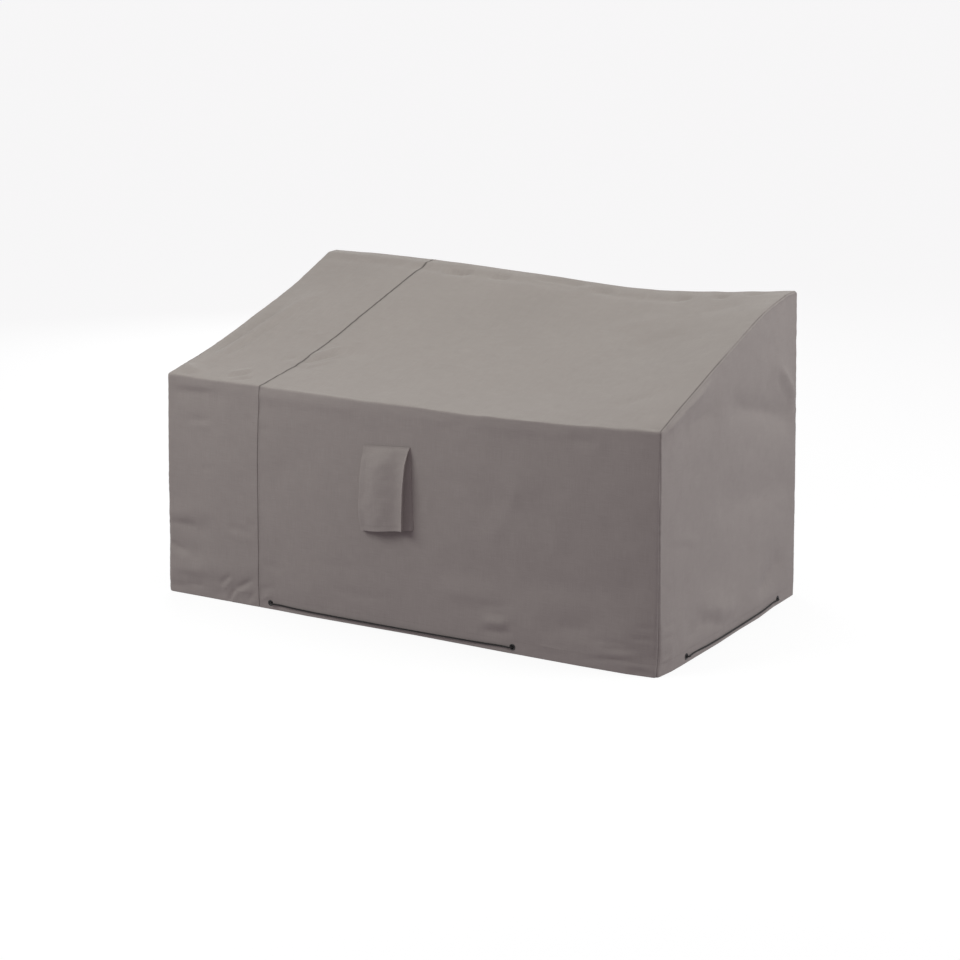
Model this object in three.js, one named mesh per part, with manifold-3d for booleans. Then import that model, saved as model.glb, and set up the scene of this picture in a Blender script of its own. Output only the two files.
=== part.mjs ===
// Fitted cover for a patio lounge sofa: a hollow shell of sewn cloth panels, open at the bottom.
// Millimetres, +Z up, +X to the right along the front, and the front faces -Y.
// The origin is on the ground, under the middle of the cover's box.

import * as THREE from 'three';
import Module from 'manifold-3d';
import { mergeVertices } from 'three/addons/utils/BufferGeometryUtils.js';

const table = (columns, rows) => {
  const names = columns.split(' ');
  return rows.map((row) => Object.fromEntries(names.map((name, i) => [name, row[i]])));
};

// Driving dimensions

const WIDTH = 1600; // from end to end at the hem
const DEPTH = 900; // from front face to back face at the hem
const FRONT_FACE_Y = -439;
const BACK_FACE_Y = FRONT_FACE_Y + DEPTH;
const HEM = 40; // height of the stiff hem, which hangs upright
const LEAN = 0.016; // how far an upright face leans in, for each millimetre above the hem
const CLOTH = 2; // thickness
const GAP = 0.3; // between two pieces that are sewn or fitted together
const JOIN_X = -470; // the seam between the narrow left cloth and the main cloth, on the front
const JOIN_DRIFT = 45; // how far that seam has moved to the right by the time it reaches the back edge
const JOIN_DRIFT_REACH = 330; // the cloth beside the seam moves with it, less and less over this width

// The top, in sections across the cover: the heights of the fold at the front edge, of the slope at each
// quarter of the depth, of the front edge of the flat strip over the back frame, and of the back edge.
// strip is that strip's depth, and round is how softly the front edge turns.

const SECTIONS = table('across edge quarter half threeQuarter stripEdge ridge strip round', [
  [-800, 654, 701, 760, 830, 897, 900, 48, 24],
  [-470, 648, 693, 758, 836, 895, 899, 52, 18],
  [-120, 645, 684, 746, 818, 878, 885, 60, 16],
  [290, 643, 680, 739, 806, 859, 868, 58, 16],
  [560, 643, 694, 756, 822, 868, 877, 56, 20],
  [800, 668, 735, 806, 872, 898, 900, 72, 34],
]);
const RIDGE_ROUND = 14; // how softly the back edge turns

// Rows of the cloth's grid: on an upright face, as shares of the height from the hem to the turn at the
// top, and on the slope, as shares of the depth. Two slope rows stand close on each side of an end eyelet.

const UPRIGHT_ROWS = [0.07, 0.16, 0.27, 0.38, 0.49, 0.6, 0.71, 0.82, 0.92, 1];
const SLOPE_ROWS = [
  0.08, 0.137, 0.183, 0.25, 0.32, 0.4, 0.48, 0.56, 0.64, 0.71, 0.78, 0.849, 0.896,
];

// Columns of the grid, by their place across the cover, out to the turn at its ends

const MAIN_COLUMNS = [
  JOIN_X + GAP / 2, -451, -411, -360, -300, -240, -180, -120, -60, 0, 60, 120, 180, 240, 300, 351,
  391, 440, 500, 560, 610, 660, 710,
];
const LEFT_COLUMNS = [JOIN_X - GAP / 2, -505, -545, -590, -640, -690, -740];

// The turn from the bands to the end panels, softer at the hem than at the top, with the end seam on it.
// seamSide is -1 just before the seam's gap and 1 just after it.

const END_ROUND = 14;
const END_ROUND_AT_HEM = 30;
const END_ROUND_SETTLES = 600; // height above which the turn has its smaller radius
const SEAM_ANGLE = 50;
const BAND_TURNS = table('angle seamSide', [[0, 0], [25, 0], [SEAM_ANGLE, -1]]);
const RIM_TURN = { angle: SEAM_ANGLE, seamSide: 1 };
const FLAT_TURN = { angle: 90, seamSide: 0 };

// How far the hem stands out from a straight line between the corners

const LONG_HEM = table('along out', [
  [-800, 0], [-451, 3], [-411, 3], [-300, 7], [60, 4], [351, 10], [391, 10], [560, 12], [710, 9], [800, 0],
]);
const END_HEM = table('along out', [
  [0, 0], [70, 8], [130, 10], [180, 10], [364, 11], [503, 8], [633, 9], [749, 1], [800, 1], [900, 0],
]);
const FLARE_ENDS = 210; // height at which the hem's standing out has died away

// Soft folds. Each runs from (u1, v1) to (u2, v2), half is its half width, and height is how far it stands
// out. On the front and back, u is x and v is z. On the slope, u is x and v is the depth from the front
// face. On an end, u is that depth and v is z.

const FRONT_FOLDS = table('u1 v1 u2 v2 half height', [
  [170, 150, 300, 155, 34, 5],
  [240, 118, 350, 132, 34, -5],
  [500, 98, 600, 108, 40, -5],
  [385, 490, 290, 290, 44, 4],
  [315, 405, 430, 396, 46, -4],
  [440, 215, 700, 235, 50, -4],
  [-790, 243, -670, 229, 36, -6],
  [-790, 278, -690, 268, 34, 4],
  [-790, 168, -670, 150, 36, -6],
  [-790, 68, -640, 62, 38, -7],
  [-625, 60, -500, 96, 38, 5],
  [-765, 600, -620, 606, 34, -4],
]);
const BACK_FOLDS = table('u1 v1 u2 v2 half height', [
  [-620, 470, -180, 250, 80, -5],
  [120, 560, 600, 300, 90, -6],
  [330, 700, 640, 640, 60, 4],
  [-300, 130, 260, 105, 45, -5],
]);
const SLOPE_FOLDS = table('u1 v1 u2 v2 half height', [
  [-705, 150, -672, 560, 36, 5],
  [-430, 170, -340, 300, 36, -4],
  [330, 640, 520, 470, 80, -5],
  [-60, 560, 160, 600, 90, -4],
]);
const END_FOLDS = table('u1 v1 u2 v2 half height', [
  [750, 705, 905, 572, 40, 8],
  [690, 655, 800, 560, 44, -5],
  [490, 632, 820, 545, 46, -9],
  [190, 625, 330, 650, 46, -6],
  [420, 390, 820, 345, 60, -6],
  [660, 80, 760, 125, 42, -7],
  [200, 78, 290, 92, 42, -6],
  [300, 120, 420, 80, 42, 6],
]);
const FOLD_FADE = 50; // folds die away over this length towards an end seam

// Vent hood, in rows from its open bottom to its sewn top. baseLeft and baseRight are where its gussets
// meet the front face, flapLeft and flapRight the flap's own edges, and the rest how far those stand off.

const HOOD_ROWS = table('z baseLeft flapLeft flapRight baseRight standLeft standRight', [
  [292, -122, -109, 44, 65, 19, 39],
  [335, -122, -115, 44, 63, 23, 36],
  [380, -121, -116, 43.5, 60, 23, 32],
  [430, -118, -114, 43, 57, 20, 25],
  [475, -114, -111, 43, 53, 14, 17],
  [508, -111, -109, 43.5, 48, 7, 8],
  [526, -110, -109, 43.5, 45, 2.3, 2.3],
]);
const FLAP_SHARES = [0.04, 0.25, 0.5, 0.75, 0.96];
const FLAP_TROUGH = 5; // depth of the soft trough down the middle of the flap
const FLAP_OPEN = 20; // the trough is whole where the flap stands off by this much
const BOTTOM_SLANT = 9; // the bottom edge is this much lower at the left and higher at the right
const FLAT_BEHIND_HOOD = { x1: -150, x2: 95, z1: 262, z2: 556, fade: 45 };

// Eyelets in the hem, each a flanged barrel with a washer inside the cover

const EYELET_Z = 19;
const LONG_EYELETS = table('name x', [['left', -431], ['right', 371]]);
const END_EYELETS = table('name deep', [['near', 155], ['far', 774]]); // near the front and far from it
const EYELET = { bore: 4.4, barrel: 5, flange: 9, flangeRim: 8.2, washer: 7.6, hole: 5.4, sides: 12 };
const FLANGE_THICK = 1.4;
const WASHER_THICK = 1;

// Drawcord along the front, repeated along the back: along is x, out is measured from the straight face

const CORD_RADIUS = 2.5;
const CORD_SIDES = 8;
const LONG_CORD = table('along out z', [
  [-431.4, -4, 19], [-431.4, 0.5, 19], [-430.1, 5.5, 19], [-426.4, 9.2, 18.8], [-421.4, 10.5, 18.6],
  [-414, 8.3, 18.2], [-401, 6.4, 17.6], [-360, 8, 16.4], [-300, 10, 15.3], [-180, 10.2, 14.3],
  [-60, 10.6, 14], [60, 11.1, 14.2], [180, 11.7, 15], [290, 12.3, 16.3], [341, 13, 17.6],
  [354, 15.3, 18.2], [361.4, 17.5, 18.6], [366.4, 16.2, 18.8], [370.1, 12.5, 19], [371.4, 7.5, 19],
  [371.4, 3, 19],
]);

// Drawcord along each end: along is the depth from the front face

const END_CORD = table('along out z', [
  [154.6, 3, 19], [154.6, 7.5, 19], [155.9, 12.5, 19], [159.6, 16.2, 18.8], [164.6, 17.5, 18.6],
  [172, 15.3, 18.2], [185, 13.1, 17.6], [290, 13.8, 15.4], [364, 14.1, 14.8], [440, 13.3, 14.7],
  [520, 12.5, 14.9], [590, 12.2, 15.6], [640, 12, 16.3], [700, 8.4, 17.2], [744, 5.4, 17.8],
  [757, 6.5, 18.2], [764.4, 8.5, 18.6], [769.4, 7.2, 18.8], [773.1, 3.5, 19], [774.4, -1.5, 19],
  [774.4, -6, 19],
]);

const CLOTH_LOOK = { color: 0x8a817c, roughness: 0.86, metalness: 0 };
const EYELET_LOOK = { color: 0x1c1a19, roughness: 0.45, metalness: 0 };
const CORD_LOOK = { color: 0x211e1d, roughness: 0.8, metalness: 0 };

const range = (count) => [...Array(count).keys()];
const UPRIGHT_COUNT = UPRIGHT_ROWS.length + 2;
const SLOPE_COUNT = SLOPE_ROWS.length + 3;
const STATIONS = range(2 * UPRIGHT_COUNT + SLOPE_COUNT + 2);

const smooth = (share) => THREE.MathUtils.smoothstep(share, 0, 1);
const leanAt = (z) => LEAN * Math.max(z - HEM, 0);
const frontFace = (z) => FRONT_FACE_Y + leanAt(z);
const backFace = (z) => BACK_FACE_Y - leanAt(z);
const endFace = (z) => WIDTH / 2 - leanAt(z);

// The rows of a table on each side of a place in it, and how far between them that place is
function between(rows, column, at) {
  const above = rows.findIndex((row) => row[column] > at);
  const k = above < 0 ? rows.length - 2 : Math.max(above - 1, 0);
  const span = rows[k + 1][column] - rows[k][column];
  return { k, span, t: THREE.MathUtils.clamp((at - rows[k][column]) / span, 0, 1) };
}

// Value at a place in a table, on a smooth curve through its rows
function onCurve(rows, column, value, at) {
  const { k, span, t } = between(rows, column, at);
  const steepness = (i) => {
    const before = rows[Math.max(i - 1, 0)];
    const after = rows[Math.min(i + 1, rows.length - 1)];
    return (after[value] - before[value]) / (after[column] - before[column]);
  };
  const lead = t * (1 - t) ** 2 * steepness(k) * span;
  const tail = t ** 2 * (1 - t) * steepness(k + 1) * span;
  return THREE.MathUtils.lerp(rows[k][value], rows[k + 1][value], smooth(t)) + lead - tail;
}

// Standing out of the hem at a place along it, and less higher up
function hemFlare(rows, along, z) {
  const { k, t } = between(rows, 'along', along);
  const out = THREE.MathUtils.lerp(rows[k].out, rows[k + 1].out, t);
  return out * (1 - smooth((z - HEM) / (FLARE_ENDS - HEM)));
}

// Sum of the soft folds at a place on a face
function foldsAt(folds, u, v) {
  let sum = 0;
  for (const { u1, v1, u2, v2, half, height } of folds) {
    const start = new THREE.Vector3(u1, v1, 0);
    const fold = new THREE.Line3(start, new THREE.Vector3(u2, v2, 0));
    const place = new THREE.Vector3(u, v, 0);
    const away = fold.closestPointToPoint(place, true, new THREE.Vector3()).distanceTo(place);
    sum += height * Math.exp(-((away / half) ** 2));
  }
  return sum;
}

// Folds of an upright face, which leave its hem straight
const uprightFolds = (folds, u, z) => foldsAt(folds, u, z) * smooth((z - HEM) / HEM);

// 0 behind the hood and 1 well away from it
function awayFromHood(x, z) {
  const { x1, x2, z1, z2, fade } = FLAT_BEHIND_HOOD;
  return smooth(Math.hypot(Math.max(x1 - x, 0, x - x2), Math.max(z1 - z, 0, z - z2)) / fade);
}

// Upright cross-section of the smooth outer skin at a place across the cover, from the front hem over the
// top to the back hem. drift is the share of the joining seam's drift at each of its points.
function crossSection(across) {
  const at = (value) => onCurve(SECTIONS, 'across', value, across);
  const [edge, ridge, stripEdge, strip, round] = ['edge', 'ridge', 'stripEdge', 'strip', 'round'].map(at);
  const stripShare = 1 - strip / DEPTH;
  const slopeStart = frontFace(edge);
  const slopeDepth = backFace(ridge) - slopeStart;
  const slopeHeights = table('share z', [
    [0, edge], [0.25, at('quarter')], [0.5, at('half')], [0.75, at('threeQuarter')],
    [stripShare, stripEdge],
  ]);
  const onSlope = (share) => ({
    y: slopeStart + share * slopeDepth,
    z: onCurve(slopeHeights, 'share', 'z', share),
    face: 'slope',
    drift: share,
  });
  const upright = (faceY, top, face, drift) => [0, ...UPRIGHT_ROWS].map((share) => {
    const z = HEM + share * (top - HEM);
    return { y: faceY(z), z, face, drift: drift * share };
  });
  const hemEdge = (faceY, face) => ({ y: faceY(0), z: 0, face, drift: 0 });
  const turn = (a, cornerY, cornerZ, b) => ({
    y: (a.y + 2 * cornerY + b.y) / 4,
    z: (a.z + 2 * cornerZ + b.z) / 4,
    face: 'turn',
    drift: a.drift,
  });
  const front = [hemEdge(frontFace, 'front'), ...upright(frontFace, edge - round, 'front', 0)];
  const back = [hemEdge(backFace, 'back'), ...upright(backFace, ridge - RIDGE_ROUND, 'back', 1)].reverse();
  const stripEnd = {
    y: backFace(ridge) - RIDGE_ROUND,
    z: THREE.MathUtils.lerp(stripEdge, ridge, 1 - RIDGE_ROUND / strip),
    face: 'slope',
    drift: 1,
  };
  const slope = [round / DEPTH, ...SLOPE_ROWS, stripShare].map(onSlope);
  const frontTurn = turn(front.at(-1), slopeStart, edge, slope[0]);
  const backTurn = turn(stripEnd, backFace(ridge), ridge, back[0]);
  return [...front, frontTurn, ...slope, stripEnd, backTurn, ...back];
}

// A station of a cross-section, with its outward direction in the section's plane
function stationOf(section, k) {
  const before = section[Math.max(k - 1, 0)];
  const after = section[Math.min(k + 1, section.length - 1)];
  const outward = new THREE.Vector3(0, before.z - after.z, after.y - before.y).normalize();
  return { ...section[k], outward };
}

// How far a band stands out from its smooth cross-section
function bandStandsOut({ y, z, face }, x) {
  const fade = smooth((WIDTH / 2 - END_ROUND - Math.abs(x)) / FOLD_FADE);
  if (face === 'front') {
    return uprightFolds(FRONT_FOLDS, x, z) * fade * awayFromHood(x, z) + hemFlare(LONG_HEM, x, z);
  }
  if (face === 'back') return uprightFolds(BACK_FOLDS, x, z) * fade + hemFlare(LONG_HEM, x, z);
  if (face === 'slope') return foldsAt(SLOPE_FOLDS, x, y - FRONT_FACE_Y) * fade;
  return 0;
}

// A point of the outer skin on the straight part of a band, in the column that starts at x on the front
function bandPoint(column, k) {
  const reach = Math.max(1 - Math.abs(column - JOIN_X) / JOIN_DRIFT_REACH, 0);
  const x = column + JOIN_DRIFT * reach * crossSection(column)[k].drift;
  const station = stationOf(crossSection(x), k);
  const out = bandStandsOut(station, x);
  const point = new THREE.Vector3((x * endFace(station.z)) / (WIDTH / 2), station.y, station.z);
  return { point: point.addScaledVector(station.outward, out), outward: station.outward };
}

// A point of the outer skin on the turn between a band and an end panel. end is 1 at the right and -1 at
// the left.
function turnPoint(end, k, { angle, seamSide }) {
  const across = end * (WIDTH / 2 - END_ROUND);
  const station = stationOf(crossSection(across), k);
  const rounding = smooth(1 - station.z / END_ROUND_SETTLES);
  const radius = THREE.MathUtils.lerp(END_ROUND, END_ROUND_AT_HEM, rounding);
  const turned = THREE.MathUtils.degToRad(angle) + (seamSide * GAP) / 2 / (radius - CLOTH);
  const out = bandStandsOut(station, across) * Math.cos(turned) - radius * (1 - Math.cos(turned));
  const x = end * (endFace(station.z) - radius * (1 - Math.sin(turned)));
  const point = new THREE.Vector3(x, station.y, station.z).addScaledVector(station.outward, out);
  const outward = station.outward.clone().multiplyScalar(Math.cos(turned));
  return { point, outward: outward.setX(end * Math.sin(turned)) };
}

// Closed thin sheet on a grid of outer points, whose columns run to the right and rows up, seen from outside
function sheetGeometry(grid) {
  const rows = grid[0].length;
  const inner = grid.length * rows;
  const at = (i, j) => i * rows + j;
  const outerPoints = grid.flat().map(({ point }) => point);
  const innerPoints = grid.flat().map(({ point, outward }) => point.clone().addScaledVector(outward, -CLOTH));
  const index = [];
  const rim = (a, b) => index.push(b, a, inner + a, b, inner + a, inner + b);
  for (const i of range(grid.length - 1)) {
    for (const j of range(rows - 1)) {
      const [a, b, c, d] = [at(i, j), at(i + 1, j), at(i + 1, j + 1), at(i, j + 1)];
      index.push(a, b, c, a, c, d);
      index.push(inner + a, inner + c, inner + b, inner + a, inner + d, inner + c);
    }
    rim(at(i, 0), at(i + 1, 0));
    rim(at(i + 1, rows - 1), at(i, rows - 1));
  }
  for (const j of range(rows - 1)) {
    rim(at(grid.length - 1, j), at(grid.length - 1, j + 1));
    rim(at(0, j + 1), at(0, j));
  }
  const geometry = new THREE.BufferGeometry().setFromPoints([...outerPoints, ...innerPoints]);
  return geometry.setIndex(index);
}

// Grid of a band from its joining seam out to its end seam, put in order from left to right
function bandGrid(columns, end) {
  const straight = columns.map((column) => STATIONS.map((k) => bandPoint(column, k)));
  const turned = BAND_TURNS.map((turn) => STATIONS.map((k) => turnPoint(end, k, turn)));
  const grid = [...straight, ...turned];
  return end > 0 ? grid : grid.reverse();
}

const END_COLUMNS = SLOPE_COUNT + 2;
const END_ROWS = UPRIGHT_COUNT + 1;

// The station of the bands' cross-section that a place on an end panel's rim meets
function rimStation(i, j) {
  if (i === 0) return j;
  if (j === END_ROWS - 1) return UPRIGHT_COUNT + i;
  return STATIONS.length - 1 - j;
}

// The line where an end panel has turned flat, one ring inside its rim. Its two top corners lie between the
// neighbours that the rim's corners turn into.
function flatRing(end) {
  const flat = (i, j) => turnPoint(end, rimStation(i, j), FLAT_TURN).point;
  const left = range(END_ROWS - 1).map((j) => flat(0, j));
  const right = range(END_ROWS - 1).map((j) => flat(END_COLUMNS - 1, j));
  const top = range(END_COLUMNS).map((i) => flat(i, END_ROWS - 1));
  top[1] = left.at(-1).lerp(top[1], 0.5);
  top[END_COLUMNS - 2] = right.at(-1).lerp(top[END_COLUMNS - 2], 0.5);
  return { left, right, top };
}

// A point of the end panel's face, blended from the ring's sides, and its folds
function endPoint(end, { left, right, top }, i, j) {
  const [topLeft, topRight] = [left.at(-1), right.at(-1)];
  const [lowLeft, lowRight] = [left[0], right[0]];
  const u = (top[i].y - topLeft.y) / (topRight.y - topLeft.y);
  const v = left[j].z / topLeft.z;
  const point = left[j].clone().lerp(right[j], u);
  point.add(lowLeft.clone().lerp(lowRight, u).lerp(top[i], v));
  point.sub(lowLeft.clone().lerp(lowRight, u).lerp(topLeft.clone().lerp(topRight, u), v));
  const deep = point.y - FRONT_FACE_Y;
  const inside = Math.min(deep - END_ROUND, DEPTH - END_ROUND - deep, top[i].z - point.z);
  const folds = uprightFolds(END_FOLDS, deep, point.z) * smooth(inside / FOLD_FADE);
  point.setX(end * (endFace(point.z) + folds + hemFlare(END_HEM, deep, point.z)));
  return { point, outward: new THREE.Vector3(end, 0, 0) };
}

function endGrid(end) {
  const ring = flatRing(end);
  const grid = range(END_COLUMNS).map((i) => range(END_ROWS).map((j) => {
    const onRim = i === 0 || i === END_COLUMNS - 1 || j === END_ROWS - 1;
    return onRim ? turnPoint(end, rimStation(i, j), RIM_TURN) : endPoint(end, ring, i, j);
  }));
  return end > 0 ? grid : grid.reverse();
}

// One row of the hood, from where its left gusset meets the front face to where its right one does
function hoodRow(row) {
  const slant = row === HOOD_ROWS[0] ? BOTTOM_SLANT : 0;
  const [toLeft, toRight, toFront] = [[-1, 0, 0], [1, 0, 0], [0, -1, 0]].map((v) => new THREE.Vector3(...v));
  const flat = HOOD_ROWS.at(-1).standLeft;
  const trough = FLAP_TROUGH * smooth((row.standLeft - flat) / FLAP_OPEN);
  const place = (x, stand, share, outward) => {
    const z = row.z + slant * (2 * share - 1);
    return { point: new THREE.Vector3(x, frontFace(z) - stand, z), outward };
  };
  const flap = FLAP_SHARES.map((share) => {
    const stand = THREE.MathUtils.lerp(row.standLeft, row.standRight, share);
    const x = THREE.MathUtils.lerp(row.flapLeft, row.flapRight, share);
    return place(x, stand - trough * Math.sin(Math.PI * share) ** 2, share, toFront);
  });
  return [
    place(row.baseLeft, GAP, 0, toLeft),
    place((row.baseLeft + row.flapLeft) / 2, (GAP + row.standLeft) / 2, 0, toLeft),
    ...flap,
    place((row.baseRight + row.flapRight) / 2, (GAP + row.standRight) / 2, 1, toRight),
    place(row.baseRight, GAP, 1, toRight),
  ];
}

function hoodGrid() {
  const rows = HOOD_ROWS.map(hoodRow);
  return rows[0].map((_, i) => rows.map((row) => row[i]));
}

const wasm = await Module();
wasm.setup();

function toSolid(geometry) {
  const bare = geometry.clone();
  bare.deleteAttribute('normal');
  bare.deleteAttribute('uv');
  const merged = mergeVertices(bare);
  return new wasm.Manifold(new wasm.Mesh({
    numProp: 3,
    vertProperties: merged.attributes.position.array,
    triVerts: new Uint32Array(merged.index.array),
  }));
}

function fromSolid(solid) {
  const { vertProperties, triVerts } = solid.getMesh();
  const geometry = new THREE.BufferGeometry();
  geometry.setAttribute('position', new THREE.BufferAttribute(vertProperties, 3));
  return geometry.setIndex(new THREE.BufferAttribute(triVerts, 1));
}

// Where each side's hem lies. turn is the angle about Z from +Y to the way out.
const SIDES = {
  front: { rows: LONG_HEM, turn: Math.PI, at: (along, out) => [along, FRONT_FACE_Y - out] },
  back: { rows: LONG_HEM, turn: 0, at: (along, out) => [along, BACK_FACE_Y + out] },
  right: { rows: END_HEM, turn: -Math.PI / 2, at: (along, out) => [WIDTH / 2 + out, FRONT_FACE_Y + along] },
  left: { rows: END_HEM, turn: Math.PI / 2, at: (along, out) => [-WIDTH / 2 - out, FRONT_FACE_Y + along] },
};

// Puts a shape made about +Y at a place along a side's hem, facing out
function placeOnHem(object, side, along) {
  const { rows, turn, at } = SIDES[side];
  object.position.set(...at(along, hemFlare(rows, along, EYELET_Z)), EYELET_Z);
  object.rotation.z = turn;
  return object;
}

// Cuts the round holes for a side's eyelets through its cloth
function withHoles(geometry, side, alongs) {
  return fromSolid(alongs.reduce((solid, along) => {
    const drill = new THREE.Mesh(new THREE.CylinderGeometry(EYELET.hole, EYELET.hole, HEM, EYELET.sides));
    placeOnHem(drill, side, along).updateMatrix();
    return solid.subtract(toSolid(drill.geometry.applyMatrix4(drill.matrix)));
  }, toSolid(geometry)));
}

function eyeletGeometry() {
  const { bore, barrel, flange, flangeRim, washer, sides } = EYELET;
  const washerFace = -CLOTH - GAP;
  const inside = washerFace - WASHER_THICK;
  const outside = GAP + FLANGE_THICK;
  const profile = [
    [bore, inside], [washer, inside], [washer, washerFace], [barrel, washerFace], [barrel, GAP],
    [flange, GAP], [flange, GAP + FLANGE_THICK / 2], [flangeRim, outside], [bore, outside], [bore, inside],
  ];
  return new THREE.LatheGeometry(profile.map(([r, y]) => new THREE.Vector2(r, y)), sides);
}

// A cord's route, straight from each of its points to the next, with one step of the tube at each
class Route extends THREE.Curve {
  constructor(points) {
    super();
    this.points = points;
  }

  getPoint(t) {
    const place = t * (this.points.length - 1);
    const k = Math.min(Math.floor(place), this.points.length - 2);
    return this.points[k].clone().lerp(this.points[k + 1], place - k);
  }

  getUtoTmapping(u) {
    return u;
  }
}

function cordGeometry(rows, side) {
  const points = rows.map(({ along, out, z }) => new THREE.Vector3(...SIDES[side].at(along, out), z));
  const section = new THREE.Shape().absarc(0, 0, CORD_RADIUS, 0, 2 * Math.PI);
  return new THREE.ExtrudeGeometry(section, {
    extrudePath: new Route(points),
    steps: points.length - 1,
    curveSegments: CORD_SIDES / 2,
  });
}

const cover = new THREE.Group();

function addPiece(name, geometry, look) {
  const mesh = new THREE.Mesh(geometry, new THREE.MeshStandardMaterial(look));
  mesh.name = name;
  cover.add(mesh);
  return mesh;
}

const longAlongs = LONG_EYELETS.map(({ x }) => x);
const endAlongs = END_EYELETS.map(({ deep }) => deep);
const mainCloth = withHoles(sheetGeometry(bandGrid(MAIN_COLUMNS, 1)), 'front', longAlongs);
addPiece('main_band', withHoles(mainCloth, 'back', longAlongs), CLOTH_LOOK);
addPiece('left_band', sheetGeometry(bandGrid(LEFT_COLUMNS, -1)), CLOTH_LOOK);
addPiece('right_side', withHoles(sheetGeometry(endGrid(1)), 'right', endAlongs), CLOTH_LOOK);
addPiece('left_side', withHoles(sheetGeometry(endGrid(-1)), 'left', endAlongs), CLOTH_LOOK);
addPiece('vent_hood', sheetGeometry(hoodGrid()), CLOTH_LOOK);

for (const side of ['front', 'back']) {
  for (const { name, x } of LONG_EYELETS) {
    placeOnHem(addPiece(`eyelet_${side}_${name}`, eyeletGeometry(), EYELET_LOOK), side, x);
  }
  addPiece(`drawcord_${side}`, cordGeometry(LONG_CORD, side), CORD_LOOK);
}
for (const side of ['right', 'left']) {
  for (const { name, deep } of END_EYELETS) {
    placeOnHem(addPiece(`eyelet_${side}_${name}`, eyeletGeometry(), EYELET_LOOK), side, deep);
  }
  addPiece(`drawcord_${side}`, cordGeometry(END_CORD, side), CORD_LOOK);
}

export default cover;
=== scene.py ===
import math

import bpy
import numpy as np
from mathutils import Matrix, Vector


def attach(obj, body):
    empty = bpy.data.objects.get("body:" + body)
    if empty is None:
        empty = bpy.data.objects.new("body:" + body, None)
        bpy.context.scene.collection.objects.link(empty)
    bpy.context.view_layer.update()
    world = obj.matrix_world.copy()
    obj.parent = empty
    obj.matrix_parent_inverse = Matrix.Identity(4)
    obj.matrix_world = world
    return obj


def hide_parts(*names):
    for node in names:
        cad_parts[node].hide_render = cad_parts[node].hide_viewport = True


# Fitted patio cover, sewn from cloth. Blender's objects are in metres. The cloth's own sizes and tables are
# in millimetres, and MM turns them into metres when a mesh is made.

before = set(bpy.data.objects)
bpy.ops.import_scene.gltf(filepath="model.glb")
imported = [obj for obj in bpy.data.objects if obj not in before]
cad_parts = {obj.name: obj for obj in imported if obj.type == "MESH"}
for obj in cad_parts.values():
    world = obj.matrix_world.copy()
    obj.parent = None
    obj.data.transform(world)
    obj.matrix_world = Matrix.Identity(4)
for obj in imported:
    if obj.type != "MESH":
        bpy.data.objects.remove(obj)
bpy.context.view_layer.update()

MM = 0.001


def table(columns, rows):
    """The columns of a short table, by name."""
    return {name: np.array([row[i] for row in rows], float) for i, name in enumerate(columns.split())}


def smooth(share):
    """0 up to 0 and 1 from 1 on, with a soft step between."""
    share = np.clip(share, 0, 1)
    return share * share * (3 - 2 * share)


def lerp(a, b, share):
    return a + (b - a) * share


def unit(vectors):
    return vectors / np.maximum(np.linalg.norm(vectors, axis=-1, keepdims=True), 1e-12)


def lengths_along(path):
    """Distance of each point of a path from the first, along it."""
    return np.r_[0, np.cumsum(np.linalg.norm(np.diff(path, axis=0), axis=1))]


def along_path(lengths, values, at):
    """Values at places along a path, from those of its points."""
    return np.column_stack([np.interp(at, lengths, column) for column in values.T])


# Camera, at the viewing angle of the photo once its sideways stretch is taken off

IMAGE_SIZE = 960
CAMERA_PLACE = (3.44, -5.81, 2.00)
CAMERA_YAW = math.radians(30.6)
CAMERA_PITCH = math.radians(13.8)
CAMERA_FOCAL = 2400  # in pixels of the image
SENSOR = 36


def make_camera():
    data = bpy.data.cameras.new("camera")
    data.sensor_width = SENSOR
    data.lens = CAMERA_FOCAL / IMAGE_SIZE * SENSOR
    camera = bpy.data.objects.new("camera", data)
    level = math.cos(CAMERA_PITCH)
    ahead = Vector((-math.sin(CAMERA_YAW) * level, math.cos(CAMERA_YAW) * level, -math.sin(CAMERA_PITCH)))
    camera.location = CAMERA_PLACE
    camera.rotation_euler = ahead.to_track_quat("-Z", "Y").to_euler()
    bpy.context.scene.collection.objects.link(camera)
    bpy.context.scene.camera = camera


make_camera()

# Drawcord. One stretch shows on each side, from inside one eyelet out over its flange, along the hem and
# into the next eyelet. along and out are measured as on the hem below, here in metres.

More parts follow.
